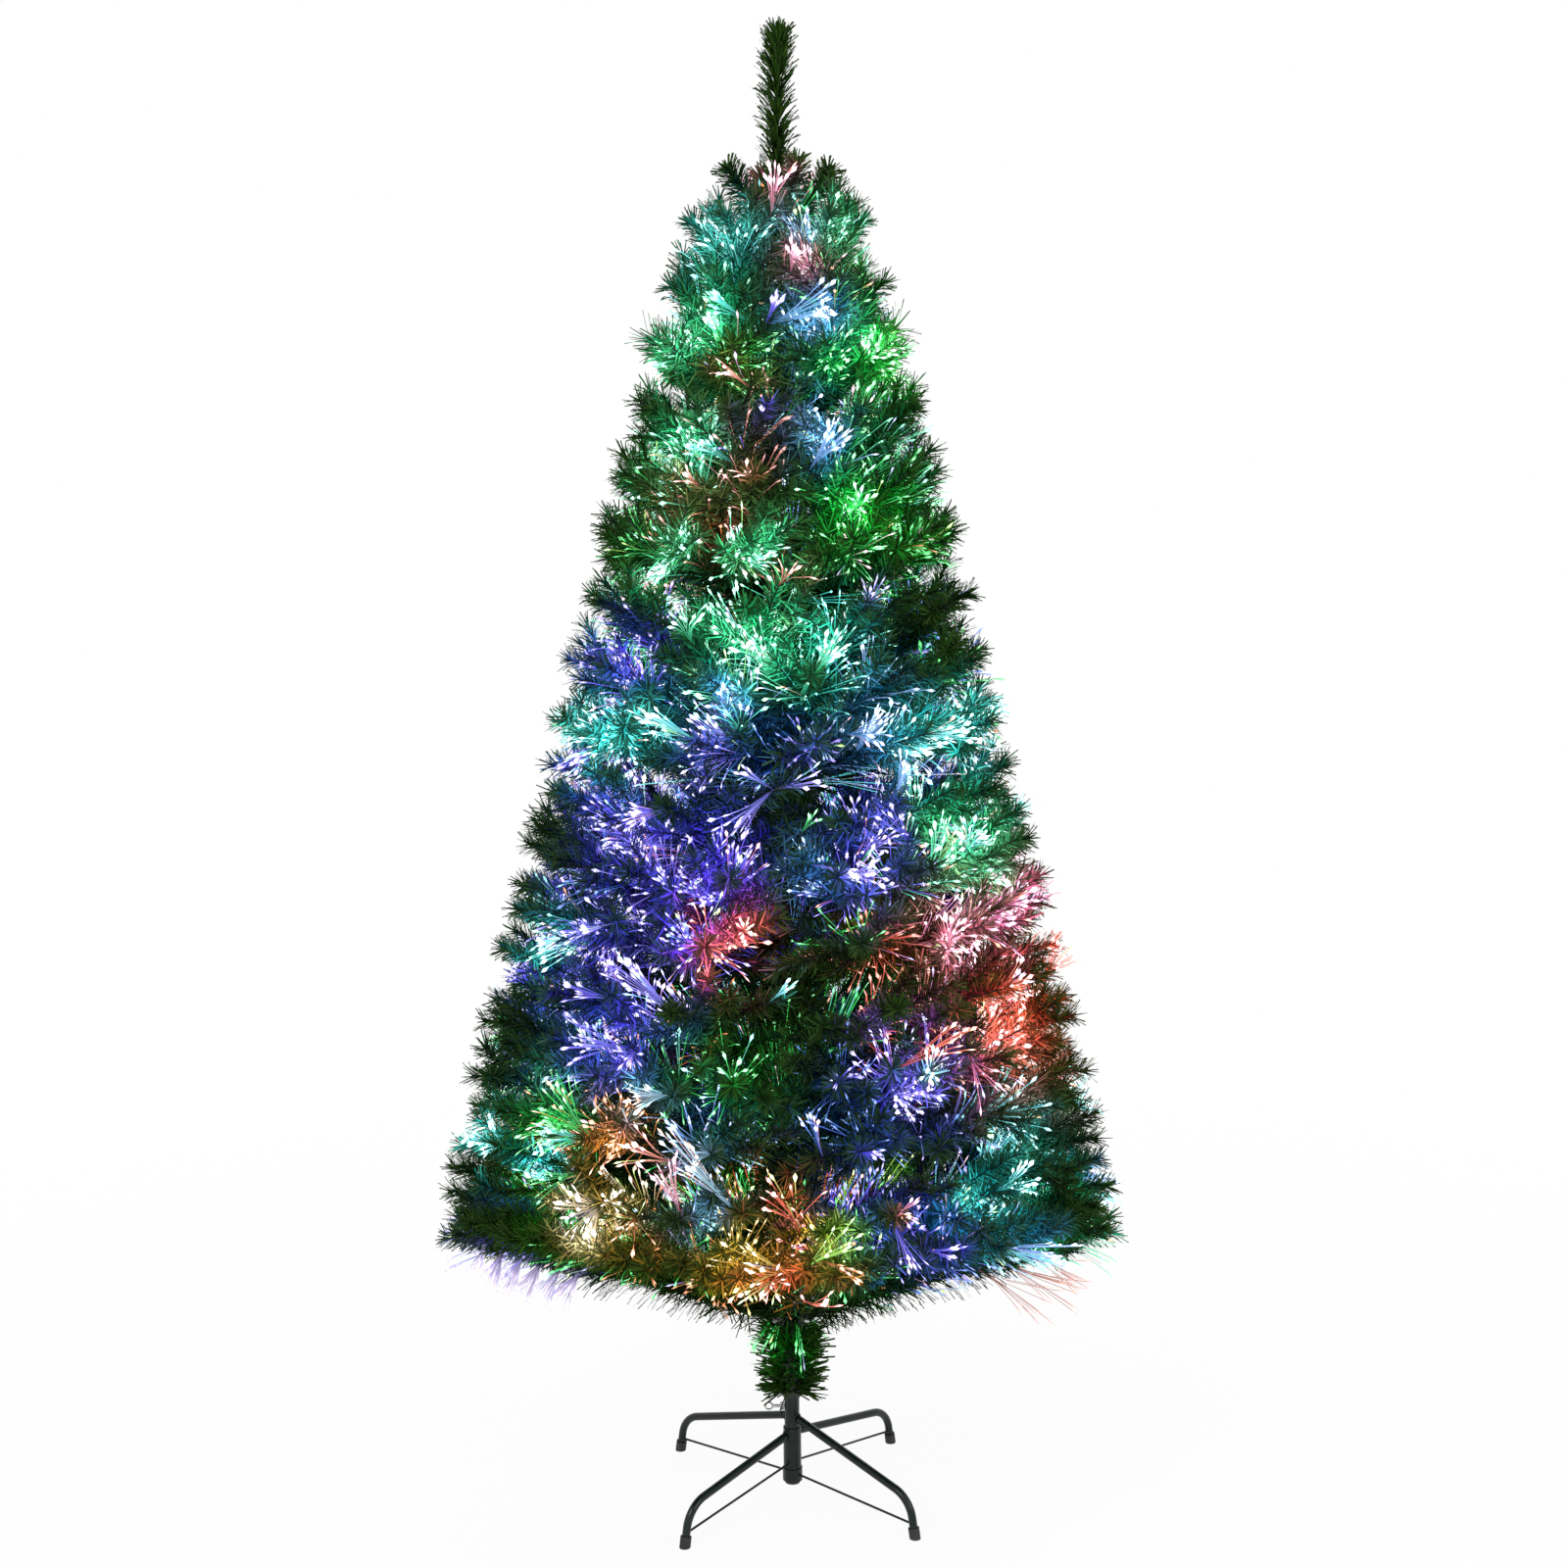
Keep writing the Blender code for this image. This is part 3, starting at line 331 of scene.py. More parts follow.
# Bundles that hang out of the lowest tips: branch, tip, where they leave it, direction, length,
# fibres, colour and power
TASSELS = (
    (3, 2, 0.22, (-0.50, -0.10, -0.58), 0.062, 32, "haze", 0.60),
    (3, 2, 0.34, (-0.47, -0.12, -0.62), 0.066, 36, "haze", 0.60),
    (3, 2, 0.46, (-0.44, -0.08, -0.66), 0.068, 40, "haze", 0.60),
    (3, 2, 0.58, (-0.40, -0.12, -0.68), 0.066, 40, "haze", 0.60),
    (3, 2, 0.70, (-0.34, -0.08, -0.70), 0.060, 36, "haze", 0.60),
    (3, 2, 0.82, (-0.26, -0.12, -0.70), 0.048, 30, "haze", 0.60),
    (0, 2, 0.38, (0.84, -0.15, -0.24), 0.110, 34, "ice_blue", 1.3),
    (0, 2, 0.52, (0.80, -0.15, -0.28), 0.100, 40, "ice_blue", 1.3),
    (0, 0, 0.16, (0.72, -0.10, -0.42), 0.120, 10, "salmon", 0.30),
    (0, 0, 0.30, (0.72, -0.10, -0.40), 0.125, 14, "salmon", 0.30),
    (0, 0, 0.46, (0.74, -0.10, -0.36), 0.100, 12, "salmon", 0.30),
)
# Small bundles that hang from the lowest hub onto the skirt: turn in degrees and length
SKIRT_BUNDLES = ((-68.0, 0.088), (-128.0, 0.080), (30.0, 0.085), (110.0, 0.085), (190.0, 0.080))
SKIRT_BUNDLE_FIBRES = 7
SKIRT_BUNDLE_FALL = 1.75
SKIRT_BUNDLE_SPREAD = 0.22
SKIRT_BUNDLE_RISE = 0.004
SKIRT_BUNDLE_POWER = 0.6

# Colours of the light, linear: of the bright ends, then of what they light up
LIGHT = {
    "mint": ((0.24, 1.00, 0.64), (0.00, 0.54, 0.20)),
    "teal": ((0.10, 0.95, 0.82), (0.00, 0.42, 0.30)),
    "ice_cyan": ((0.34, 1.00, 1.00), (0.00, 0.50, 0.54)),
    "ice_blue": ((0.38, 0.60, 1.00), (0.02, 0.18, 0.70)),
    "haze": ((0.58, 0.48, 0.80), (0.34, 0.26, 0.52)),
    "lavender": ((0.46, 0.38, 1.00), (0.05, 0.035, 0.80)),
    "violet": ((0.24, 0.16, 1.00), (0.03, 0.012, 0.80)),
    "blue": ((0.14, 0.30, 1.00), (0.00, 0.05, 0.60)),
    "green": ((0.06, 0.90, 0.18), (0.00, 0.42, 0.02)),
    "lime": ((0.62, 1.00, 0.20), (0.14, 0.50, 0.00)),
    "yellow": ((1.00, 0.62, 0.10), (0.27, 0.15, 0.00)),
    "orange": ((1.00, 0.30, 0.06), (0.25, 0.06, 0.00)),
    "red": ((1.00, 0.20, 0.12), (0.75, 0.02, 0.01)),
    "hot_red": ((1.00, 0.30, 0.24), (0.95, 0.05, 0.02)),
    "salmon": ((1.00, 0.46, 0.38), (0.70, 0.08, 0.04)),
    "pink": ((1.00, 0.52, 0.72), (0.72, 0.08, 0.20)),
    "magenta": ((1.00, 0.34, 0.62), (0.75, 0.03, 0.20)),
    "hot_white": ((1.00, 0.84, 0.60), (0.30, 0.13, 0.02)),
    "ice_white": ((0.84, 0.95, 1.00), (0.04, 0.34, 0.62)),
}
# Zones of one colour: metres across from the trunk, height, reach, colour, strength
LIGHT_ZONES = (
    (0.0, 1.615, 0.015, "pink", 0.8),
    (-0.065, 1.58, 0.018, "ice_cyan", 1.2),
    (0.02, 1.59, 0.02, "ice_blue", 1.1),
    (0.065, 1.58, 0.02, "mint", 1.1),
    (0.025, 1.535, 0.02, "pink", 1.0),
    (0.09, 1.52, 0.03, "green", 0.8),
    (-0.09, 1.50, 0.025, "mint", 0.8),
    (-0.085, 1.46, 0.03, "mint", 1.2),
    (-0.005, 1.48, 0.02, "violet", 0.9),
    (0.045, 1.47, 0.02, "ice_blue", 1.4),
    (-0.03, 1.425, 0.025, "green", 0.9),
    (0.10, 1.44, 0.035, "green", 1.1),
    (0.10, 1.39, 0.03, "green", 1.0),
    (-0.165, 1.44, 0.03, "green", 0.5),
    (-0.055, 1.37, 0.028, "salmon", 0.8),
    (-0.12, 1.33, 0.032, "mint", 1.1),
    (-0.02, 1.345, 0.02, "violet", 0.9),
    (0.035, 1.335, 0.025, "ice_blue", 1.3),
    (0.12, 1.335, 0.04, "mint", 0.8),
    (0.085, 1.25, 0.035, "green", 1.0),
    (-0.12, 1.25, 0.03, "salmon", 0.8),
    (-0.05, 1.235, 0.028, "salmon", 0.9),
    (-0.185, 1.26, 0.035, "green", 0.7),
    (0.16, 1.26, 0.035, "green", 0.8),
    (-0.155, 1.165, 0.032, "mint", 1.0),
    (-0.085, 1.155, 0.04, "mint", 1.2),
    (-0.01, 1.19, 0.03, "mint", 1.1),
    (-0.04, 1.095, 0.04, "mint", 1.2),
    (0.06, 1.11, 0.04, "teal", 1.0),
    (0.105, 1.16, 0.032, "lavender", 0.6),
    (0.17, 1.145, 0.028, "blue", 0.4),
    (-0.19, 1.075, 0.04, "violet", 1.0),
    (-0.11, 1.075, 0.03, "mint", 0.8),
    (-0.195, 1.01, 0.03, "ice_cyan", 1.3),
    (-0.105, 1.01, 0.028, "lavender", 1.0),
    (-0.06, 1.045, 0.022, "ice_blue", 1.0),
    (0.115, 1.02, 0.03, "ice_blue", 1.0),
    (0.195, 0.985, 0.03, "ice_cyan", 1.2),
    (0.015, 1.035, 0.028, "blue", 0.7),
    (-0.23, 0.925, 0.035, "violet", 1.0),
    (-0.18, 0.895, 0.03, "lavender", 1.2),
    (-0.11, 0.94, 0.035, "violet", 0.9),
    (-0.04, 0.955, 0.032, "blue", 0.9),
    (-0.04, 0.875, 0.03, "violet", 1.0),
    (0.01, 0.865, 0.024, "ice_blue", 1.0),
    (0.03, 0.94, 0.028, "violet", 0.9),
    (0.12, 0.91, 0.032, "lavender", 1.0),
    (0.10, 0.845, 0.028, "violet", 1.0),
    (0.205, 0.885, 0.035, "mint", 1.2),
    (0.26, 0.91, 0.03, "teal", 0.7),
    (-0.28, 0.845, 0.032, "blue", 0.7),
    (-0.295, 0.725, 0.025, "ice_cyan", 1.0),
    (-0.225, 0.785, 0.035, "violet", 0.9),
    (-0.175, 0.73, 0.035, "lavender", 1.2),
    (-0.12, 0.79, 0.035, "violet", 1.0),
    (-0.10, 0.84, 0.03, "violet", 1.0),
    (-0.055, 0.77, 0.02, "hot_red", 1.3),
    (0.01, 0.80, 0.032, "green", 0.8),
    (0.06, 0.79, 0.03, "green", 0.8),
    (0.02, 0.73, 0.024, "mint", 0.8),
    (0.095, 0.76, 0.022, "red", 0.8),
    (0.185, 0.75, 0.03, "pink", 1.1),
    (0.275, 0.775, 0.03, "magenta", 1.0),
    (0.175, 0.815, 0.028, "salmon", 0.9),
    (0.28, 0.655, 0.04, "hot_red", 1.5),
    (-0.20, 0.665, 0.035, "violet", 1.0),
    (-0.25, 0.62, 0.03, "ice_blue", 0.9),
    (-0.065, 0.69, 0.02, "orange", 0.7),
    (-0.03, 0.70, 0.026, "mint", 0.8),
    (0.03, 0.67, 0.03, "green", 0.7),
    (0.145, 0.64, 0.035, "red", 0.9),
    (0.155, 0.605, 0.028, "lavender", 1.2),
    (0.22, 0.655, 0.03, "salmon", 0.8),
    (0.295, 0.57, 0.035, "ice_cyan", 0.9),
    (0.335, 0.515, 0.03, "green", 0.8),
    (-0.11, 0.665, 0.02, "orange", 0.6),
    (-0.04, 0.645, 0.032, "green", 0.9),
    (-0.11, 0.62, 0.03, "green", 0.8),
    (0.025, 0.605, 0.035, "blue", 0.6),
    (-0.31, 0.575, 0.035, "blue", 0.6),
    (-0.355, 0.505, 0.03, "ice_cyan", 1.2),
    (-0.29, 0.535, 0.032, "green", 1.0),
    (-0.20, 0.55, 0.02, "orange", 1.0),
    (-0.225, 0.475, 0.016, "hot_white", 1.4),
    (-0.27, 0.455, 0.03, "green", 0.8),
    (-0.20, 0.51, 0.02, "green", 0.8),
    (-0.175, 0.44, 0.018, "orange", 0.7),
    (-0.13, 0.45, 0.03, "green", 0.8),
    (-0.11, 0.52, 0.03, "ice_blue", 1.0),
    (0.0, 0.49, 0.03, "red", 1.3),
    (-0.05, 0.455, 0.022, "yellow", 1.1),
    (-0.06, 0.50, 0.025, "green", 0.8),
    (0.035, 0.475, 0.03, "lime", 1.0),
    (-0.075, 0.42, 0.02, "orange", 0.8),
    (-0.01, 0.40, 0.018, "orange", 0.8),
    (0.0, 0.43, 0.02, "green", 0.7),
    (0.04, 0.41, 0.028, "green", 0.8),
    (0.115, 0.465, 0.035, "violet", 0.9),
    (0.085, 0.555, 0.032, "blue", 0.7),
    (0.175, 0.50, 0.032, "blue", 0.5),
    (0.315, 0.465, 0.035, "green", 0.9),
    (0.26, 0.475, 0.03, "ice_cyan", 1.1),
    (0.33, 0.395, 0.035, "mint", 0.9),
    (0.285, 0.38, 0.032, "ice_blue", 0.8),
    (0.215, 0.41, 0.03, "blue", 0.7),
    (-0.325, 0.385, 0.032, "lavender", 0.8),
    (-0.385, 0.45, 0.028, "green", 0.6),
    (-0.20, 1.18, 0.035, "green", 0.7),
    (-0.26, 1.03, 0.035, "green", 0.7),
    (-0.31, 0.90, 0.035, "teal", 0.6),
    (-0.35, 0.70, 0.035, "green", 0.7),
    (0.20, 1.20, 0.035, "green", 0.7),
    (0.25, 1.06, 0.035, "green", 0.7),
    (0.31, 0.88, 0.035, "green", 0.8),
    (0.36, 0.62, 0.035, "green", 0.7),
    (0.39, 0.47, 0.035, "green", 0.8),
)
# How deep in the tree a fan starts, how far above its face it ends, and where twigs can carry it
FAN_DEPTH = 0.014
FAN_RISE = 0.004
FAN_ROOT_PLACES = np.linspace(0.15, 0.9, 12)
# Fans open on the tree's face: across and height of the start, direction in degrees from the
# right, length, spread, fibres, colour and power
FANS = (
    (-0.215, 0.545, 140, 0.10, 0.55, 16, "green", 1.1),
    (-0.205, 0.535, 175, 0.11, 0.45, 12, "teal", 1.1),
    (-0.205, 0.52, 198, 0.10, 0.50, 7, "green", 0.9),
    (-0.14, 0.695, 138, 0.095, 0.34, 24, "lavender", 1.4),
    (-0.195, 0.665, 184, 0.07, 0.42, 24, "violet", 1.2),
    (-0.175, 0.68, 270, 0.045, 0.90, 14, "violet", 1.1),
    (-0.08, 0.485, 120, 0.115, 0.30, 22, "ice_white", 1.2),
    (-0.14, 0.575, 140, 0.05, 0.50, 16, "ice_white", 1.1),
    (0.0, 0.46, 88, 0.08, 0.65, 14, "red", 1.4),
    (0.015, 0.435, 33, 0.075, 0.40, 12, "lime", 1.1),
    (0.02, 0.44, -6, 0.065, 0.30, 9, "orange", 1.1),
    (-0.01, 0.445, 180, 0.08, 0.55, 18, "yellow", 1.4),
    (-0.01, 0.45, 215, 0.06, 0.60, 12, "orange", 1.4),
    (0.115, 0.465, -60, 0.07, 0.28, 14, "violet", 1.2),
    (0.11, 0.475, 27, 0.04, 0.50, 10, "pink", 1.2),
    (0.06, 0.585, -32, 0.06, 0.35, 7, "violet", 1.2),
    (0.045, 0.58, 130, 0.04, 0.30, 7, "blue", 1.1),
    (0.115, 0.65, 17, 0.11, 0.30, 12, "red", 1.2),
    (0.21, 0.65, -72, 0.065, 0.50, 10, "magenta", 1.2),
    (0.06, 0.615, 90, 0.035, 0.90, 8, "violet", 0.9),
    (0.02, 0.71, 100, 0.035, 0.20, 10, "ice_cyan", 1.2),
    (-0.22, 0.48, 30, 0.05, 0.35, 16, "hot_white", 1.5),
    (-0.225, 0.475, 205, 0.040, 1.30, 44, "hot_white", 2.0),
    (-0.175, 0.495, -55, 0.035, 1.00, 8, "orange", 1.0),
    (-0.045, 0.63, 115, 0.035, 0.60, 8, "green", 1.1),
    (-0.09, 1.0, 165, 0.095, 0.30, 22, "ice_cyan", 1.3),
    (-0.02, 0.91, 122, 0.07, 0.25, 7, "lavender", 1.2),
    (0.0, 0.92, 35, 0.06, 0.35, 9, "lavender", 1.3),
    (0.005, 0.905, 25, 0.04, 0.25, 6, "green", 1.0),
    (-0.115, 0.89, 170, 0.085, 0.35, 18, "violet", 1.2),
    (-0.025, 0.895, 196, 0.055, 0.35, 14, "lavender", 1.3),
    (0.025, 0.88, -22, 0.095, 0.20, 9, "lavender", 1.3),
    (0.085, 0.835, 30, 0.045, 0.60, 14, "lavender", 1.3),
    (0.02, 1.055, 50, 0.075, 0.38, 20, "mint", 1.2),
    (-0.03, 1.06, 118, 0.06, 0.70, 10, "mint", 1.1),
    (0.115, 0.94, 50, 0.055, 0.50, 14, "ice_blue", 1.2),
    (0.175, 0.99, 0, 0.055, 0.35, 20, "ice_cyan", 1.4),
    (-0.115, 0.81, 122, 0.05, 0.25, 8, "violet", 1.2),
    (0.09, 0.98, 34, 0.04, 0.80, 12, "ice_blue", 1.2),
    (-0.105, 1.09, 100, 0.055, 0.90, 16, "mint", 1.1),
    (-0.04, 1.005, 90, 0.035, 1.20, 10, "teal", 1.1),
    (0.195, 0.875, 39, 0.035, 0.70, 18, "ice_cyan", 1.4),
    (0.13, 0.885, 112, 0.035, 0.70, 12, "violet", 1.2),
    (0.005, 1.155, 63, 0.045, 0.70, 8, "salmon", 1.0),
    (0.09, 1.11, 63, 0.06, 0.80, 12, "lavender", 0.9),
    (-0.06, 0.77, 50, 0.035, 0.70, 12, "hot_red", 1.4),
    (0.26, 0.685, 37, 0.04, 0.90, 24, "hot_red", 1.5),
    (0.0, 1.445, 87, 0.04, 0.24, 9, "violet", 1.2),
    (-0.02, 1.32, 93, 0.035, 0.24, 9, "violet", 1.2),
    (0.025, 1.515, 95, 0.035, 0.50, 9, "pink", 1.1),
    (0.005, 1.445, 24, 0.08, 0.35, 20, "ice_blue", 1.3),
    (0.005, 1.315, 21, 0.075, 0.35, 20, "ice_blue", 1.3),
    (0.0, 1.60, 85, 0.04, 0.45, 20, "pink", 1.6),
    (-0.035, 1.45, 149, 0.065, 0.40, 12, "teal", 1.1),
    (-0.055, 1.285, 142, 0.065, 0.40, 12, "teal", 1.1),
    (-0.04, 1.39, 137, 0.035, 0.50, 8, "salmon", 1.0),
    (-0.09, 1.265, 141, 0.035, 0.60, 9, "salmon", 1.0),
    (-0.04, 1.26, 108, 0.035, 0.70, 8, "salmon", 1.0),
    (0.08, 1.23, 59, 0.035, 0.80, 14, "green", 1.1),
    (0.175, 0.765, 67, 0.04, 0.60, 14, "pink", 1.2),
    (0.27, 0.76, 61, 0.05, 0.60, 14, "magenta", 1.2),
    (0.15, 0.61, 53, 0.035, 0.90, 18, "ice_white", 1.4),
    (0.27, 0.475, 63, 0.035, 0.90, 18, "ice_cyan", 1.3),
    (-0.355, 0.49, 127, 0.035, 0.90, 20, "ice_cyan", 1.3),
    (-0.185, 0.745, 164, 0.08, 0.30, 12, "lavender", 1.2),
    (-0.22, 0.705, 173, 0.045, 0.30, 8, "violet", 1.2),
    (-0.018, 0.432, 195, 0.020, 1.20, 16, "hot_red", 1.8),
    (0.04, 0.39, 250, 0.015, 1.20, 12, "hot_red", 1.6),
    (0.0, 0.415, 270, 0.045, 0.20, 12, "yellow", 1.5),
    (0.25, 0.40, -8, 0.12, 0.20, 26, "ice_blue", 1.5),
    (0.27, 0.385, -14, 0.10, 0.20, 18, "ice_cyan", 1.4),
    (0.175, 0.475, -62, 0.05, 0.40, 8, "violet", 1.2),
    (-0.165, 0.52, 128, 0.05, 0.60, 14, "salmon", 1.3),
    (-0.11, 0.50, 118, 0.07, 0.35, 14, "pink", 1.1),
)

# Light that the fibres throw on the needles round them, in a grid of cells
FIELD_CELL = 0.010
FIELD_LOW = np.array((-0.50, -0.50, 0.06))
FIELD_SIZE = (100, 100, 170)
# Reach in cells and share of the pale light close to the ends, and of the deep light round it
PALE_GLOW, PALE_SHARE = 0.7, 0.60
DEEP_GLOWS, DEEP_SHARES = (1.3, 2.8), (3.0, 3.3)
BLUR_REACH = 2.6
LIGHT_CONTRAST = 0.35
# White is mixed in over this range of light, up to this share
OVEREXPOSED = (3.0, 14.0)
OVEREXPOSED_share = 0.35
BRIGHTEST = 1.20

# Small shapes and their maps: room for spare cells, and edges of what a shape fills in its cell
MAP_SPARE = 1.06
TUBE_MAP_ALONG = (0.14, 0.86)
TUBE_MAP_ROUND = (0.1, 0.9)
TUBE_MAP_CAPS = ((0.06, 0.5), (0.94, 0.5))
RING_MAP_EDGES = (0.02, 0.2)
TURNED_MAP_EDGES = (0.04, 0.96)
NEEDLE_FACES = np.array(((0, 1, 2), (0, 2, 3)))
NEEDLE_MAP = np.array(((0.08, 0.12), (0.08, 0.88), (0.92, 0.88), (0.92, 0.12)))
OCTAHEDRON = np.array(((1, 0, 0), (-1, 0, 0), (0, 1, 0), (0, -1, 0), (0, 0, 1), (0, 0, -1)), float)
OCTAHEDRON_FACES = np.array(
    ((0, 2, 4), (2, 1, 4), (1, 3, 4), (3, 0, 4), (2, 0, 5), (1, 2, 5), (3, 1, 5), (0, 3, 5))
)
OCTAHEDRON_MAP = np.array(((0.9, 0.5), (0.1, 0.5), (0.5, 0.9), (0.5, 0.1), (0.55, 0.55), (0.45, 0.45)))
# A direction counts as upright when its height is more than this
UPRIGHT = 0.9
# Added to values that others are divided by, so that none of them is zero
NO_DIVISION_BY_ZERO = 1e-9
NO_ZERO_LIGHT = 1e-6
NO_ZERO_LENGTH = 1e-6

# Camera, from the photograph: turns in degrees, place, and focal length in the photograph's pixels
CAMERA_PITCH_DEG = 8.097
CAMERA_TURN_DEG = -0.552
CAMERA_ROLL_DEG = -0.619
CAMERA_PLACE = (0.0255, -2.8, 1.3041)
FOCAL_PIXELS = 2381.9
PHOTO_PIXELS = 1600.0
SENSOR_WIDTH = 36.0
# Studio lights: name, place, height aimed at, size and power
STUDIO_LIGHTS = (
    ("key_light", (-1.8, -2.6, 2.9), 0.9, 1.6, 60.0),
    ("fill_light", (2.4, -2.0, 1.8), 0.8, 1.8, 30.0),
    ("back_light", (0.6, 2.8, 2.6), 0.9, 1.8, 30.0),
)
SURROUNDINGS_STRENGTH = 0.55
FLOOR_HALF_SIZE = 60.0

# Starts of the random draws
SEEDS = {
    "branch_plan": 100,
    "branch_needles": 1000,
    "spray": 500,
    "hot_bundles": 31,
    "tassels": 32,
    "fans": 33,
    "leader_plan": 77,
    "leader_needles": 78,
    "skirt": 91,
}

BranchPlan = namedtuple("BranchPlan", "stem mains sides inner fibres")
LeaderPlan = namedtuple("LeaderPlan", "stem whorl fibres")


def unit(vectors):
    """Return vectors of length 1."""
    return vectors / np.linalg.norm(vectors, axis=-1, keepdims=True)


def heading(turn):
    """Return the level direction with this turn in radians."""
    return np.array((math.cos(turn), math.sin(turn), 0.0))


def upward(height):
    """Return the place this high on the trunk's middle line."""
    return np.array((0.0, 0.0, height))


def foliage_radius(height):
    """Return how far the tips reach at this height."""
    place = (height - LOWEST_TIP_HEIGHT) / (TOP_LEVEL_HEIGHT - LOWEST_TIP_HEIGHT)
    bulge = FOLIAGE_BULGE * (1 - (2 * place - 1) ** 4)
    return FOLIAGE_RADIUS + (TOP_TIP_RADIUS - FOLIAGE_RADIUS) * place + bulge


def crowding(height):
    """Return how crowded the light is at this height, against the middle of the tree."""
    return CROWDING_LEAST + CROWDING_PER_METRE * foliage_radius(height)


def on_face(across, height, above):
    """Return the place on the tree's front with this distance across, this far above the tips."""
    room = max(foliage_radius(height) + above, abs(across) + LEAST_DEPTH)
    return np.array((across, -math.sqrt(room**2 - across**2), height))


def collar_height(tier):
    """Return the height of a tier's hinge pins."""
    return FIRST_COLLAR_HEIGHT + tier * TIER_PITCH


def branch_angles(tier):
    """Return the directions of a tier's branches in degrees."""
    count = TIER_BRANCHES[tier]
    return [TIER_TURNS_DEG[tier] + 360.0 * n / count for n in range(count)]


def tip_end(tier, level, side_deg, short=0.0):
    """Return a tip's end from the tier's pin, with the branch along +X."""
    height = LOWEST_TIP_HEIGHT + (tier * LEVELS_PER_TIER + level) * LEVEL_PITCH
    across = heading(math.radians(side_deg)) * (foliage_radius(height) - TIP_PULL_IN - short)
    return across + np.array((-PIN_DISTANCE, 0.0, height - collar_height(tier)))


def branch_place(tier, angle_deg):
    """Return the turn and place of a branch's own frame."""
    turn = Matrix.Rotation(math.radians(angle_deg), 4, "Z")
    out = Matrix.Translation((PIN_DISTANCE, 0.0, 0.0))
    return Matrix.Translation((0.0, 0.0, collar_height(tier))) @ turn @ out


def moved(points, place):
    """Return points carried by a matrix."""
    whole = np.array(place)
    return points @ whole[:3, :3].T + whole[:3, 3]


def on_route(route, places):
    """Return the points and directions of a start, control, end route at places from 0 to 1."""
    start, control, end = route
    t = np.asarray(places)[:, None]
    points = (1 - t) ** 2 * start + 2 * t * (1 - t) * control + t * t * end
    ways = 2 * (1 - t) * (control - start) + 2 * t * (end - control)
    return points, unit(ways)


def swept(start, end, slope):
    """Return the route of a twig that ends with this rise over run."""
    run = (end - start) * (0.5, 0.5, 0.0)
    return np.array((start, end - run - upward(slope * np.linalg.norm(run)), end))


def underside(points):
    """Return the height under which no needle or fibre hangs, higher at the front and back."""
    radius = np.hypot(points[..., 0], points[..., 1]) + NO_DIVISION_BY_ZERO
    diagonal = np.abs(points[..., 0] * points[..., 1]) / radius
    rise = UNDERSIDE_SLOPE * radius + UNDERSIDE_FRONT_SLOPE * np.abs(points[..., 1])
    turn = np.arctan2(points[..., 1], points[..., 0])
    wave = -sum(np.cos(number * turn) for number in UNDERSIDE_WAVES) * UNDERSIDE_WAVE_HEIGHT
    return UNDERSIDE_HEIGHT + rise + UNDERSIDE_DIAGONAL_SLOPE * diagonal + wave


def clear_of_underside(route):
    """Return whether a twig's outer half stays above the tree's underside."""
    points, _ = on_route(route, (0.5, 0.75, 1.0))
    return bool((points[:, 2] > underside(points)).all())


def straight(start, end):
    """Return a route without a bend."""
    return np.array((start, (start + end) / 2, end))


class Pile:
    """The triangles of one piece, gathered from many small shapes."""

    def __init__(self):
        self.points, self.faces, self.finish, self.maps = [], [], [], []
        self.tone, self.along, self.light = [], [], []
        self.count = 0

    def add(self, points, faces, finish, maps, tone=0.5, along=0.0, light=0.0):
        """Add points with one value or a value each, and faces of one finish."""
        self.points.append(points)
        self.faces.append(faces + self.count)
        self.finish.append(np.full(len(faces), finish, np.int32))
        self.maps.append(maps)
        self.tone.append(np.zeros(len(points)) + tone)
        self.along.append(np.zeros(len(points)) + along)
        self.light.append(np.zeros((len(points), 3)) + light)
        self.count += len(points)

    def piece(self, name, finishes):
        """Return the object, with the values of its points as attributes."""
        points = np.concatenate(self.points).astype(np.float32)
        faces = np.concatenate(self.faces).astype(np.int32)
        mesh = bpy.data.meshes.new(name)
        mesh.vertices.add(len(points))
        mesh.vertices.foreach_set("co", points.ravel())
        mesh.loops.add(faces.size)
        mesh.loops.foreach_set("vertex_index", faces.ravel())
        mesh.polygons.add(len(faces))
        mesh.polygons.foreach_set("loop_start", np.arange(0, faces.size, 3, dtype=np.int32))
        mesh.polygons.foreach_set("material_index", np.concatenate(self.finish))
        for finish in finishes:
            mesh.materials.append(finish)
        mesh.update(calc_edges=True)
        self.attribute(mesh, "tone", "FLOAT", "value", self.tone)
        self.attribute(mesh, "along", "FLOAT", "value", self.along)
        light = np.concatenate(self.light)
        coloured = np.concatenate([light, np.ones((len(light), 1))], axis=1)
        self.attribute(mesh, "light", "FLOAT_COLOR", "color", [coloured])
        places = np.concatenate(self.maps)[faces.ravel()].astype(np.float32)
        mesh.uv_layers.new(name="OFBake").data.foreach_set("uv", places.ravel())
        made = bpy.data.objects.new(name, mesh)
        bpy.context.scene.collection.objects.link(made)
        return made

    @staticmethod
    def attribute(mesh, name, kind, field, values):
        """Store one value for every point."""
        layer = mesh.attributes.new(name, kind, "POINT")
        layer.data.foreach_set(field, np.concatenate(values).astype(np.float32).ravel())


def settle(pieces, body, node=None):
    """Attach each piece to what carries it, and hide the CAD node it takes the place of."""
    for made, slot in pieces:
        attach(made, body)
        if node is not None:
            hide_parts(node)


def cells_across(count):
    """Return how many cells wide a square map with room for this many shapes is."""
    return math.ceil(math.sqrt(count * MAP_SPARE))


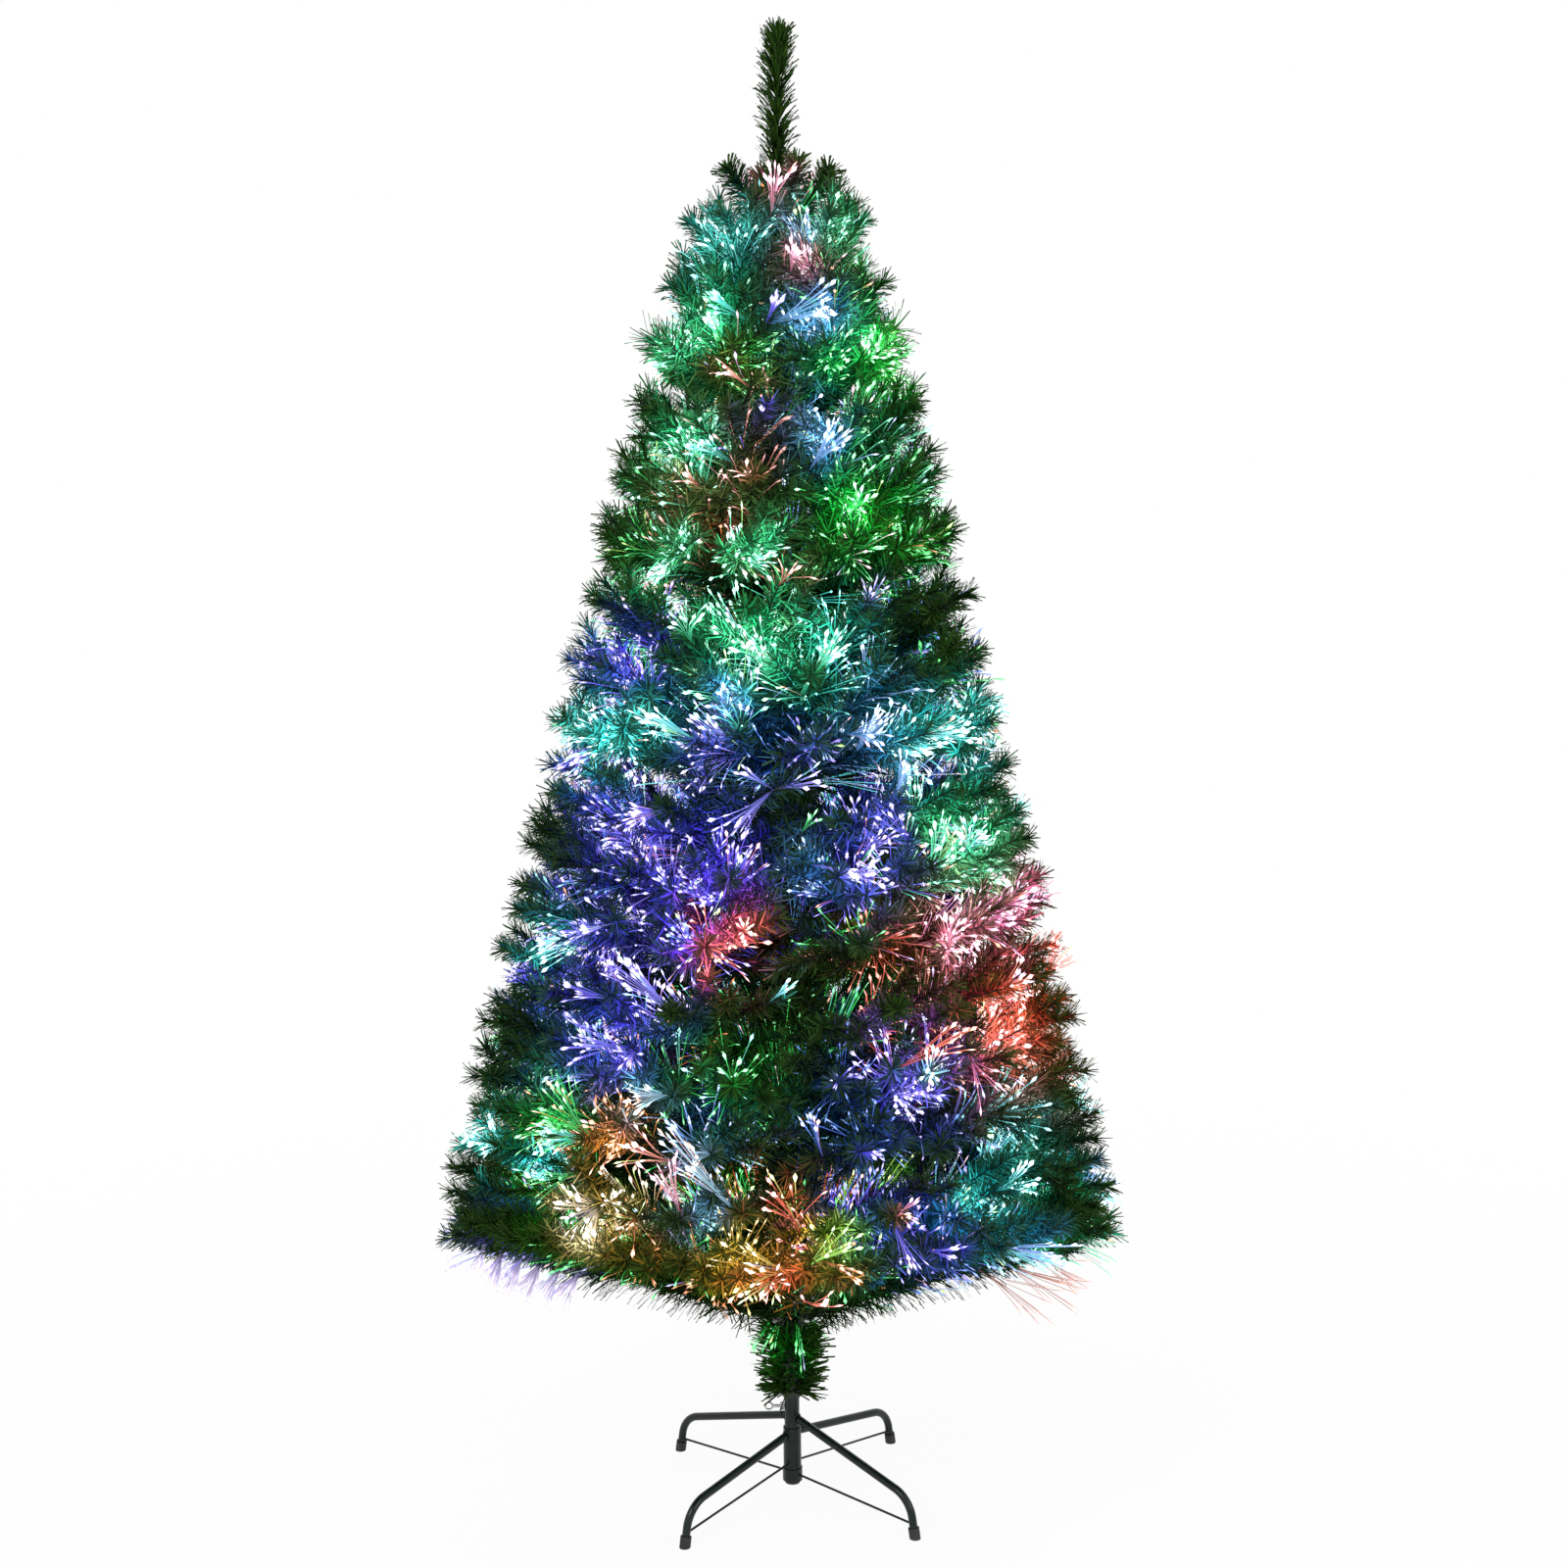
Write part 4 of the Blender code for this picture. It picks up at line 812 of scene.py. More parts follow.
def cells(first, count, across):
    """Return the lower left corners of places in a square sheet of cells."""
    index = np.arange(first, first + count)
    return np.stack([index % across, index // across], axis=1) / across


def needles_from(rng, roots, lean, across, length, width=NEEDLE_WIDTH):
    """Return the corners, four a needle, of cut film strips with a twist: two each at root and end."""
    count = len(roots)
    flat = unit(np.cross(lean, across))
    thick = np.cross(flat, lean)
    half = (width / 2 * rng.uniform(*NEEDLE_WIDTH_shares, count))[:, None]
    twist = np.radians(rng.uniform(-NEEDLE_TWIST_DEG, NEEDLE_TWIST_DEG, count))[:, None]
    edge = (flat * np.cos(twist) + thick * np.sin(twist)) * half * NEEDLE_END_share
    ends = roots + lean * length[:, None]
    return np.stack([roots - flat * half, roots + flat * half, ends + edge, ends - edge], 1)


def twig_needles(
    rng,
    route,
    share=1.0,
    first=0.0,
    wide_deg=NEEDLE_WIDE_DEG,
    close_deg=NEEDLE_CLOSE_DEG,
    size=NEEDLE_LENGTH,
    width=NEEDLE_WIDTH,
):
    """Return the needles round one twig, as many as its length asks for."""
    count = int(np.linalg.norm(route[2] - route[0]) * NEEDLES_PER_METRE * share)
    along = first + (1 - first) * (np.arange(count) + rng.random(count)) / count
    roots, ways = on_route(route, along)
    across = unit(np.cross(ways, (0.0, 0.0, 1.0)) + NO_ZERO_LENGTH)
    above = np.cross(across, ways)
    turn = np.arange(count) * GOLDEN_TURN + rng.normal(0.0, NEEDLE_TURN_NOISE, count)
    outward = np.cos(turn)[:, None] * across + np.sin(turn)[:, None] * above
    crown = along**CROWN_POWER
    noise = rng.normal(0.0, NEEDLE_LEAN_NOISE_DEG, count)
    wide = np.radians(wide_deg + (close_deg - wide_deg) * crown + noise)
    lean = ways * np.cos(wide)[:, None] + outward * np.sin(wide)[:, None]
    lean = unit(lean + upward(NEEDLE_UPTURN))
    reach = size * rng.uniform(*NEEDLE_LENGTH_shares, count) * (1 - CROWN_SHORTER_share * crown)
    return needles_from(rng, roots, lean, ways, reach, width)


def add_needles(pile, rng, corners, light):
    """Add needles to a piece, each with its own cell of the map."""
    count = len(corners)
    faces = (NEEDLE_FACES[None] + 4 * np.arange(count)[:, None, None]).reshape(-1, 3)
    across = cells_across(count)
    maps = (cells(0, count, across)[:, None] + NEEDLE_MAP[None] / across).reshape(-1, 2)
    tone = np.repeat(rng.random(count), 4)
    along = np.tile(np.array((0.0, 0.0, 1.0, 1.0)), count)
    pile.add(corners.reshape(-1, 3), faces, 0, maps, tone, along, light(corners.reshape(-1, 3)))


def tube(points, radii, sides, ends=None):
    """Return points and faces of many closed tubes along rows of points, pointed at both caps."""
    rows, rings = points.shape[:2]
    ways = unit(np.gradient(points, axis=1))
    helper = np.where(np.abs(ways[..., 2:]) > UPRIGHT, (1.0, 0.0, 0.0), (0.0, 0.0, 1.0))
    across = unit(np.cross(ways, helper))
    above = np.cross(ways, across)
    angle = 2 * math.pi * np.arange(sides) / sides
    ring = across[:, :, None] * np.cos(angle)[:, None] + above[:, :, None] * np.sin(angle)[:, None]
    skin = points[:, :, None] + ring * radii[..., None, None]
    body = skin.reshape(rows, rings * sides, 3)
    ends = points[:, -1] if ends is None else ends
    whole = np.concatenate([body, points[:, :1], ends[:, None]], axis=1)
    faces = []
    for r in range(rings - 1):
        for s in range(sides):
            a, b = r * sides + s, r * sides + (s + 1) % sides
            faces += [(a, b, b + sides), (a, b + sides, a + sides)]
    first, last = rings * sides, rings * sides + 1
    for s in range(sides):
        faces.append((first, (s + 1) % sides, s))
        end = (rings - 1) * sides
        faces.append((last, end + s, end + (s + 1) % sides))
    steps = np.arange(rows)[:, None, None] * (rings * sides + 2)
    return whole.reshape(-1, 3), (np.array(faces)[None] + steps).reshape(-1, 3)


def tube_map(corner, across, rings, sides):
    """Return the map of tubes, each laid out in its own cell."""
    along, around = np.linspace(*TUBE_MAP_ALONG, rings), np.linspace(*TUBE_MAP_ROUND, sides)
    cell = np.stack([np.repeat(along, sides), np.tile(around, rings)], axis=1)
    cell = np.concatenate([cell, TUBE_MAP_CAPS])
    return (corner[:, None] + cell[None] / across).reshape(-1, 2)


def mirrored(vector, turn):
    """Return a place or direction mirrored at the standing plane with this turn from the front."""
    across = heading(turn)
    return vector - 2 * (vector @ across) * across


def on_every_side(*vectors):
    """Return places or directions of the front and their copies on the sides and back."""
    copies = [vectors]
    for turn in (MIRROR_TURN, -MIRROR_TURN):
        copies.append(tuple(mirrored(vector, turn) for vector in vectors))
    return copies


def zone_of(place, rng):
    """Return the colour and strength of the light at a place; sides and back repeat the front."""
    turn = math.atan2(place[0], -place[1])
    if abs(turn) > MIRROR_TURN:
        place = mirrored(place, math.copysign(MIRROR_TURN, turn))
        beyond = abs(turn) - MIRROR_TURN
        place = place + upward(SIDE_SHIFT * math.sin(2 * beyond))
    best, chosen = 0.0, None
    for across, height, reach, colour, strength in LIGHT_ZONES:
        gap = math.hypot(place[0] - across, place[2] - height) / (reach * ZONE_REACH_share)
        weight = strength * math.exp(-gap * gap / 2) * rng.uniform(*ZONE_NOISES)
        if weight > best:
            best, chosen = weight, (colour, strength)
    if chosen is None or best < FAINTEST_WEIGHT:
        return LIGHT["green"], FAINTEST_POWER
    fade = min(1.0, best / (ZONE_FULL_share * chosen[1]))
    return LIGHT[chosen[0]], max(FAINTEST_POWER, chosen[1] ** 2 * fade)


class Fibres:
    """Light fibres of one piece: rows of points with their ends, colours and power."""

    def __init__(self):
        self.rows, self.ends, self.pale, self.deep, self.power, self.bead = [], [], [], [], [], []

    def add(self, start, way, spread, length, count, rng, colour, power, plain=False):
        """Add a bundle that leaves a point and fans out, with a few ends of another colour."""
        helper = (1.0, 0.0, 0.0) if abs(way[2]) > UPRIGHT else (0.0, 0.0, 1.0)
        across = unit(np.cross(way, helper))
        above = np.cross(across, way)
        turn = rng.uniform(0.0, 2 * math.pi, count)
        aside = spread * np.sqrt(rng.random(count))
        lean = way + across * (aside * np.cos(turn))[:, None] + above * (aside * np.sin(turn))[:, None]
        reach = length * rng.uniform(*FIBRE_LENGTH_shares, count)
        end = start + unit(lean) * reach[:, None]
        bend = start + way * reach[:, None] * FIBRE_BEND_share
        t = np.array(FIBRE_MIDDLE_PLACES)[None, :, None]
        line = (1 - t) ** 2 * start + 2 * t * (1 - t) * bend[:, None] + t * t * end[:, None]
        last = unit(end - bend)
        neck = end - last * BEAD_LENGTH
        belly = end - last * BEAD_LENGTH * BEAD_BELLY_share
        self.rows.append(np.concatenate([line, neck[:, None], belly[:, None]], axis=1))
        self.ends.append(end)
        pale = np.clip(colour[0] * rng.uniform(*COLOUR_NOISES, (count, 3)), 0.0, 1.0)
        accent = np.array(LIGHT[ACCENTS[rng.integers(len(ACCENTS))]][0])
        pale[(rng.random(count) < ACCENT_share) & (not plain)] = accent
        small, large = BEAD_RADII
        bead = small + (large - small) * rng.random(count) ** BEAD_RADIUS_POWER
        bead = bead * np.clip(power, *BEAD_POWERS) ** 0.5
        self.bead.append(np.full(count, FIBRE_RADIUS * BARE_END_share) if plain else bead)
        self.pale.append(pale)
        self.deep.append(np.tile(colour[1], (count, 1)))
        self.power.append(power * rng.uniform(*POWER_NOISES, count))

    def trim(self, overhang=FIBRE_OVERHANG):
        """Drop the fibres that end outside the tree or below its underside."""
        ends = np.concatenate(self.ends)
        reach = foliage_radius(ends[:, 2]) + overhang
        keep = (ends[:, 2] > underside(ends)) & (np.hypot(ends[:, 0], ends[:, 1]) < reach)
        for values in (self.rows, self.ends, self.pale, self.deep, self.power, self.bead):
            values[:] = [np.concatenate(values)[keep]]

    def beads(self):
        """Return the bright ends with the pale light close by and the deep light further off."""
        power = np.concatenate(self.power)[:, None]
        pale, deep = np.concatenate(self.pale), np.concatenate(self.deep)
        ends = np.concatenate(self.ends)
        deep = deep * power * crowding(ends[:, 2:])
        return np.concatenate([ends, pale * power**2, deep], axis=1)

    def glints(self, rng):
        """Return corners, faces and colours of the small bright nicks along the strands."""
        rows = np.concatenate(self.rows)
        chosen = np.flatnonzero(rng.random(len(rows)) < GLINT_share)
        place = rng.uniform(0.0, 1.0, len(chosen))[:, None]
        centre = rows[chosen, 1] * (1 - place) + rows[chosen, 2] * place
        small, large = GLINT_RADII
        size = small + (large - small) * rng.random(len(chosen)) ** 2
        corners = centre[:, None] + OCTAHEDRON[None] * size[:, None, None]
        faces = OCTAHEDRON_FACES[None] + 6 * np.arange(len(chosen))[:, None, None]
        bright = rng.uniform(*GLINT_BRIGHT, len(chosen)) * np.concatenate(self.power)[chosen]
        colour = np.concatenate(self.pale)[chosen] * np.clip(bright, *GLINT_LIMITS)[:, None]
        return corners.reshape(-1, 3), faces.reshape(-1, 3), np.repeat(colour, 6, axis=0)

    def fill(self, pile, finish):
        """Add the fibres to a piece."""
        rows = np.concatenate(self.rows)
        count, rings = rows.shape[:2]
        radii = np.tile(FIBRE_RADIUS_shares * FIBRE_RADIUS, (count, 1))
        radii[:, -1] = np.concatenate(self.bead)
        points, faces = tube(rows, radii, FIBRE_SIDES, np.concatenate(self.ends))
        corners, corner_faces, colours = self.glints(np.random.default_rng(count))
        nicks = len(corners) // len(OCTAHEDRON)
        across = cells_across(count + nicks)
        maps = tube_map(cells(0, count, across), across, rings, FIBRE_SIDES)
        pile.add(points, faces, finish, maps, light=self.strand_light(rings).reshape(-1, 3))
        maps = cells(count, nicks, across)[:, None] + OCTAHEDRON_MAP[None] / across
        pile.add(corners, corner_faces, finish, maps.reshape(-1, 2), light=colours)

    def strand_light(self, rings):
        """Return the light of each strand's points, ring by ring and then its two caps."""
        glow = np.concatenate([np.repeat(FIBRE_GLOWS, FIBRE_SIDES), FIBRE_CAP_GLOWS])[None, :, None]
        blend = np.concatenate([np.repeat(FIBRE_BLENDS, FIBRE_SIDES), FIBRE_CAP_BLENDS])[None, :, None]
        power = np.concatenate(self.power)
        white = np.zeros((len(power), len(blend[0]), 1))
        bead = slice((rings - 1) * FIBRE_SIDES, rings * FIBRE_SIDES)
        white[:, bead] = (BEAD_WHITE_share * np.clip(power, *BEAD_WHITE_POWERS))[:, None, None]
        pale, deep = np.concatenate(self.pale)[:, None], np.concatenate(self.deep)[:, None]
        shine = np.minimum(SHINE_MOST, SHINE_FAINT + SHINE_GROWTH * power)[:, None, None]
        light = (deep * (1 - blend) + pale * blend) * (1 - white) + white
        return light * glow * shine


def main_twigs(tier):
    """Return the twigs of the CAD branch with their level, in the branch's frame."""
    stem_end = tip_end(tier, 0, 0.0)
    half_sector = 180.0 / TIER_BRANCHES[tier]
    twigs = []
    for level, count in enumerate(TIER_TIPS[tier]):
        for side in TIP_SIDE_shares[count]:
            start = stem_end * TIP_START_shares[level][side != 0.0]
            end = tip_end(tier, level, side * half_sector)
            twigs.append((level, side * half_sector, swept(start, end, TIP_END_SLOPES[tier])))
    return twigs


def fork_twigs(tier, level, side_deg, route, rng):
    """Return the four twigs that fork off one tip and end round it on the tree's outline."""
    found = []
    spacing = 360.0 / (TIER_BRANCHES[tier] * TIER_TIPS[tier][level])
    for place, aside, above, short in FORKS:
        for side in (-1.0, 1.0):
            noise = rng.uniform(-FORK_PLACE_NOISE, FORK_PLACE_NOISE)
            (start,), (way,) = on_route(route, [place + noise])
            noise = rng.uniform(-FORK_TURN_NOISE, FORK_TURN_NOISE)
            turn = side_deg + side * spacing * (aside + noise)
            noise = rng.uniform(-FORK_LIFT_NOISE, FORK_LIFT_NOISE)
            lift = side * (-1) ** level * above * LEVEL_PITCH + noise
            lift = abs(lift) if tier == 0 and level == 0 else lift
            end = tip_end(tier, level, turn, short + rng.uniform(*FORK_END_NOISES)) + upward(lift)
            ahead = start + way * np.linalg.norm(end - start) * FORK_BEND
            found.append(np.array((start, ahead, end)))
    return found


def cross_twigs(tier, level, side_deg, route, rng):
    """Return the twigs that close the gap between an outermost tip and the next branch."""
    found = []
    edge = math.copysign(180.0 / TIER_BRANCHES[tier], side_deg)
    for n, reach in enumerate(CROSS_TWIG_REACH_shares):
        (start,), (way,) = on_route(route, [CROSS_TWIG_START + CROSS_TWIG_STEP * n])
        noise_deg = rng.uniform(-CROSS_TWIG_TURN_NOISE_DEG, CROSS_TWIG_TURN_NOISE_DEG)
        end = tip_end(tier, level, edge + noise_deg)
        noise = rng.uniform(-CROSS_TWIG_LIFT_NOISE, CROSS_TWIG_LIFT_NOISE)
        lift = math.copysign(CROSS_TWIG_LIFT, side_deg) * (-1) ** (level + n) + noise
        end = end * np.array((reach, reach, 1.0)) + upward(lift - CROSS_TWIG_DROOP * (1 - reach))
        ahead = start + way * np.linalg.norm(end - start) * CROSS_TWIG_BEND
        found.append(np.array((start, ahead, end)))
    return found


def inner_twigs(tier, rng):
    """Return the twigs that fill the tree near its pole, in the branch's frame."""
    stem_end = tip_end(tier, 0, 0.0)
    growth = INNER_TWIG_GROWTH * foliage_radius(collar_height(tier))
    size = min(1.0, INNER_TWIG_LEAST_share + growth)
    noise_deg, place_noise = INNER_TWIG_TURN_NOISE_DEG, INNER_TWIG_PLACE_NOISE
    found = []
    for n, place in enumerate(INNER_TWIG_PLACES):
        for side in (-1.0, 1.0):
            turn_deg = side * INNER_TWIG_TURNS_DEG[n % 2] + rng.uniform(-noise_deg, noise_deg)
            lift = math.radians(rng.uniform(*INNER_TWIG_LIFTS_DEG))
            way = heading(math.radians(turn_deg)) * math.cos(lift) + upward(math.sin(lift))
            start = stem_end * (place + rng.uniform(-place_noise, place_noise))
            end = start + way * INNER_TWIG_LENGTH * size
            found.append(swept(start, end, INNER_TWIG_END_SLOPE))
    return found


def shaped(routes, tier):
    """Return routes of the tree bent as it stands: further left, lowest tips lifted at the front."""
    routes = np.array(routes)
    radius = np.hypot(routes[..., 0], routes[..., 1]) + NO_DIVISION_BY_ZERO
    share = 1 - LEFT_LEAN_share * routes[..., 0] / radius
    if tier > 0:
        return routes * np.stack([share, share, np.ones_like(share)], axis=-1)
    levels_up = (routes[..., 2] - LOWEST_TIP_HEIGHT) / LEVEL_PITCH
    low = np.clip(LIFT_LEVELS - levels_up, 0.0, 1.0)
    beyond = np.clip((radius - LIFT_START) / radius, 0.0, 1.0) * low
    facing = np.abs(routes[..., 1]) / FOLIAGE_RADIUS * beyond
    diagonal = np.abs(routes[..., 0] * routes[..., 1]) / (radius * FOLIAGE_RADIUS) * beyond
    share = share - FRONT_TRIM_share * facing
    lifted = routes[..., 2] + FRONT_LIFT * facing + DIAGONAL_LIFT * diagonal
    return np.stack([routes[..., 0] * share, routes[..., 1] * share, lifted], axis=-1)


def branch_plan(tier, number, rng):
    """Return a branch's stem, tips, side twigs, inner twigs and fibres in the object's frame."""
    place = branch_place(tier, branch_angles(tier)[number])
    stem_end = tip_end(tier, 0, 0.0)
    stem = straight(stem_end * STEM_START_share, stem_end * STEM_LENGTH_share)
    stem = shaped(moved(stem, place), tier)
    mains, sides, fibres = [], [], Fibres()
    inner = [shaped(moved(route, place), tier) for route in inner_twigs(tier, rng)]
    for level, side_deg, route in main_twigs(tier):
        whole = shaped(moved(route, place), tier)
        mains.append(whole)
        forks = fork_twigs(tier, level, side_deg, route, rng)
        outermost = TIP_SIDE_shares[TIER_TIPS[tier][level]][-1] * 180.0 / TIER_BRANCHES[tier]
        if abs(side_deg) > outermost - OUTERMOST_SPARE_DEG:
            forks += cross_twigs(tier, level, side_deg, route, rng)
        forks = [shaped(moved(twig, place), tier) for twig in forks]
        sides += forks
        for which, share, count, spread, length in BUNDLES:
            twig = (whole, *forks)[which]
            (start,), (way,) = on_route(twig, [share])
            beyond = (1.0 - share) * np.linalg.norm(twig[2] - twig[0])
            reach = min(length, beyond + BUNDLE_PAST_END)
            colour, power = zone_of(start + way * reach * BUNDLE_LIGHT_share, rng)
            fuller = min(BUNDLE_MOST, BUNDLE_FAINT + BUNDLE_GROWTH * power)
            count = max(2, round(count * crowding(start[2]) * fuller))
            fibres.add(start, way, spread, reach, count, rng, colour, power)
    fibres.trim()
    if tier == 0:
        sides = [route for route in sides if clear_of_underside(route)]
        inner = [route for route in inner if clear_of_underside(route)]
    return BranchPlan(stem, mains, sides, inner, fibres)


def add_hot_bundles(plans):
    """Add a tight bundle at every strong zone."""
    rng = np.random.default_rng(SEEDS["hot_bundles"])
    routes = [(plan, route) for plan in plans.values() for route in plan.mains]
    for across, height, _, colour, strength in LIGHT_ZONES:
        if strength < HOT_STRENGTH:
            continue
        count = round(HOT_FIBRES * crowding(height))
        for (target,) in on_every_side(on_face(across, height, -HOT_DEPTH)):
            plan, route = min(routes, key=lambda one: np.linalg.norm(one[1][2] - target))
            (start,), _ = on_route(route, [HOT_START_PLACE])
            reach = np.linalg.norm(target - start)
            way, length = (target - start) / reach, min(reach, HOT_LENGTH)
            plan.fibres.add(start, way, HOT_SPREAD, length, count, rng, LIGHT[colour], strength)


def add_fans(plans):
    """Add the open fans on the tree's face, each from the twig nearest to it."""
    rng = np.random.default_rng(SEEDS["fans"])
    owners, roots = [], []
    for plan in plans.values():
        for route in [*plan.mains, *plan.sides]:
            points, _ = on_route(route, FAN_ROOT_PLACES)
            owners += [plan] * len(points)
            roots.append(points)
    roots = np.concatenate(roots)
    for across, height, turn_deg, length, spread, count, colour, power in FANS:
        turn = math.radians(turn_deg)
        start = on_face(across, height, -FAN_DEPTH)
        end = on_face(across + length * math.cos(turn), height + length * math.sin(turn), FAN_RISE)
        way = unit(end - start)
        for start, way in on_every_side(start, way):
            nearest = np.linalg.norm(roots - start, axis=1).argmin()
            root, fibres = roots[nearest], owners[nearest].fibres
            whole = start + way * length - root
            reach = np.linalg.norm(whole)
            fibres.add(root, whole / reach, spread, reach, count, rng, LIGHT[colour], power)
    for plan in plans.values():
        plan.fibres.trim(FAN_OVERHANG)


def add_tassels(plans):
    """Add the bundles that hang out of the lowest tips at the left and the right."""
    rng = np.random.default_rng(SEEDS["tassels"])
    for number, tip, place, way, length, count, colour, power in TASSELS:
        plan = plans[0, number]
        (start,), _ = on_route(plan.mains[tip], [place])
        way, shown = unit(np.array(way)), LIGHT[colour]
        plan.fibres.add(start, way, TASSEL_SPREAD, length, count, rng, shown, power, plain=True)


def blurred(field, sigma):
    """Return the field spread out evenly along its three axes."""
    reach = math.ceil(BLUR_REACH * sigma)
    weights = np.exp(-0.5 * (np.arange(-reach, reach + 1) / sigma) ** 2)
    weights /= weights.sum()
    for axis in range(3):
        total = np.zeros_like(field)
        for step, weight in zip(range(-reach, reach + 1), weights, strict=True):
            total += np.roll(field, step, axis) * weight
        field = total
    return field


def light_field(beads):
    """Return a function that gives the light at points of the foliage."""
    index = np.floor((beads[:, :3] - FIELD_LOW) / FIELD_CELL).astype(int)
    pale, deep = np.zeros((2, *FIELD_SIZE, 3), np.float32)
    np.add.at(pale, tuple(index.T), beads[:, 3:6])
    np.add.at(deep, tuple(index.T), beads[:, 6:])
    field = PALE_SHARE * blurred(pale, PALE_GLOW)
    for glow, share in zip(DEEP_GLOWS, DEEP_SHARES, strict=True):
        field += share * blurred(deep, glow)

    def at(points):
        place = (points - FIELD_LOW) / FIELD_CELL - 0.5
        base = np.floor(place).astype(int)
        part = place - base
        total = np.zeros((len(points), 3))
        for corner in np.ndindex(2, 2, 2):
            weight = np.prod(np.where(corner, part, 1 - part), axis=1)
            cell = np.clip(base + corner, 0, np.array(FIELD_SIZE) - 1)
            total += field[tuple(cell.T)] * weight[:, None]
        strongest = total.max(axis=1, keepdims=True) + NO_ZERO_LIGHT
        bright = strongest ** (1 + LIGHT_CONTRAST)
        shown = total / strongest * BRIGHTEST * (1 - np.exp(-bright / BRIGHTEST))
        low, high = OVEREXPOSED
        white = OVEREXPOSED_share * np.clip((bright - low) / (high - low), 0.0, 1.0)
        return shown * (1 - white) + BRIGHTEST * white

    return at


def add_wires(pile, routes, radius, finish):
    """Add the twisted wires that carry the needles."""
    places = np.linspace(0.0, WIRE_END_PLACE, WIRE_STEPS)
    rows = np.stack([on_route(route, places)[0] for route in routes])
    points, faces = tube(rows, np.full(rows.shape[:2], radius), WIRE_SIDES)
    across = cells_across(len(rows))
    maps = tube_map(cells(0, len(rows), across), across, WIRE_STEPS, WIRE_SIDES)
    pile.add(points, faces, finish, maps)


def wire_ring(radius, wire, steps, sides):
    """Return points, faces and map of a wire ring whose axis lies across the branch."""
    turns = 2 * math.pi * np.arange(steps) / steps
    small = 2 * math.pi * np.arange(sides) / sides
    spoke = np.stack([np.cos(turns), np.zeros(steps), np.sin(turns)], axis=1)
    ring = spoke[:, None] * (radius + wire * np.cos(small))[None, :, None]
    ring = ring + np.array((0.0, 1.0, 0.0)) * (wire * np.sin(small))[None, :, None]
    faces = []
    for r in range(steps):
        for s in range(sides):
            a, b = r * sides + s, r * sides + (s + 1) % sides
            c, d = (r + 1) % steps * sides + s, (r + 1) % steps * sides + (s + 1) % sides
            faces += [(a, b, d), (a, d, c)]
    u, v = np.linspace(*RING_MAP_EDGES, sides), np.linspace(*RING_MAP_EDGES, steps)
    maps = np.stack([np.tile(u, steps), np.repeat(v, sides)], axis=1)
    return ring.reshape(-1, 3), np.array(faces), maps


def add_eye(pile, place, tier, finish):
    """Add the bent wire eye and the crimped ferrule of a branch."""
    ring, faces, maps = wire_ring(EYE_RADIUS, EYE_WIRE_RADIUS, RING_STEPS, RING_SIDES)
    pile.add(moved(ring, place), faces, finish, maps)
    way = unit(tip_end(tier, 0, 0.0))
    line = way * (EYE_RADIUS + FERRULE_LENGTH * FERRULE_PLACES)[:, None]
    sizes = FERRULE_SIZE_shares * FERRULE_RADIUS
    points, faces = tube(moved(line, place)[None], sizes[None], FERRULE_SIDES)
    maps = tube_map(cells(3, 1, 4), 4, len(line), FERRULE_SIDES)
    pile.add(points, faces, finish, maps)


def dress_branch(tier, number, plan, light, finishes):
    """Make one branch: needles, wires, eye and fibres, which turn on its hinge."""
    rng = np.random.default_rng(SEEDS["branch_needles"] + 10 * tier + number)
    place = branch_place(tier, branch_angles(tier)[number])
    groups = [twig_needles(rng, plan.stem, **STEM_NEEDLES)]
    groups += [twig_needles(rng, route, **INNER_NEEDLES) for route in plan.inner]
    groups += [twig_needles(rng, route, **TIP_NEEDLES) for route in plan.mains]
    groups += [twig_needles(rng, route) for route in plan.sides]
    foliage, wires = Pile(), Pile()
    corners = np.concatenate(groups)
    if tier == 0:
        ragged = rng.uniform(-UNDERSIDE_RAGGED, UNDERSIDE_RAGGED, len(corners))[:, None]
        corners = corners[(corners[..., 2] > underside(corners) + ragged).all(axis=1)]
    add_needles(foliage, rng, corners, light)
    row = f"{tier + 1}_{number + 1}"
    needles = foliage.piece(f"needles_{row}", [finishes["needle"]])
    add_wires(wires, plan.mains + plan.sides + plan.inner, TWIG_WIRE_RADIUS, 0)
    add_wires(wires, [plan.stem], STEM_WIRE_RADIUS, 0)
    add_eye(wires, place, tier, 1)
    frame_wires = wires.piece(f"branch_wires_{row}", [finishes["wire"], finishes["zinc"]])
    bundle = Pile()
    plan.fibres.fill(bundle, 0)
    strands = bundle.piece(f"branch_fibres_{row}", [finishes["fibre"]])
    body, node = f"branch_{row}_body", f"branch_{row}"
    settle(((needles, "needles"), (frame_wires, "green_paint")), body, node)
    settle(((strands, "fibres"),), body)


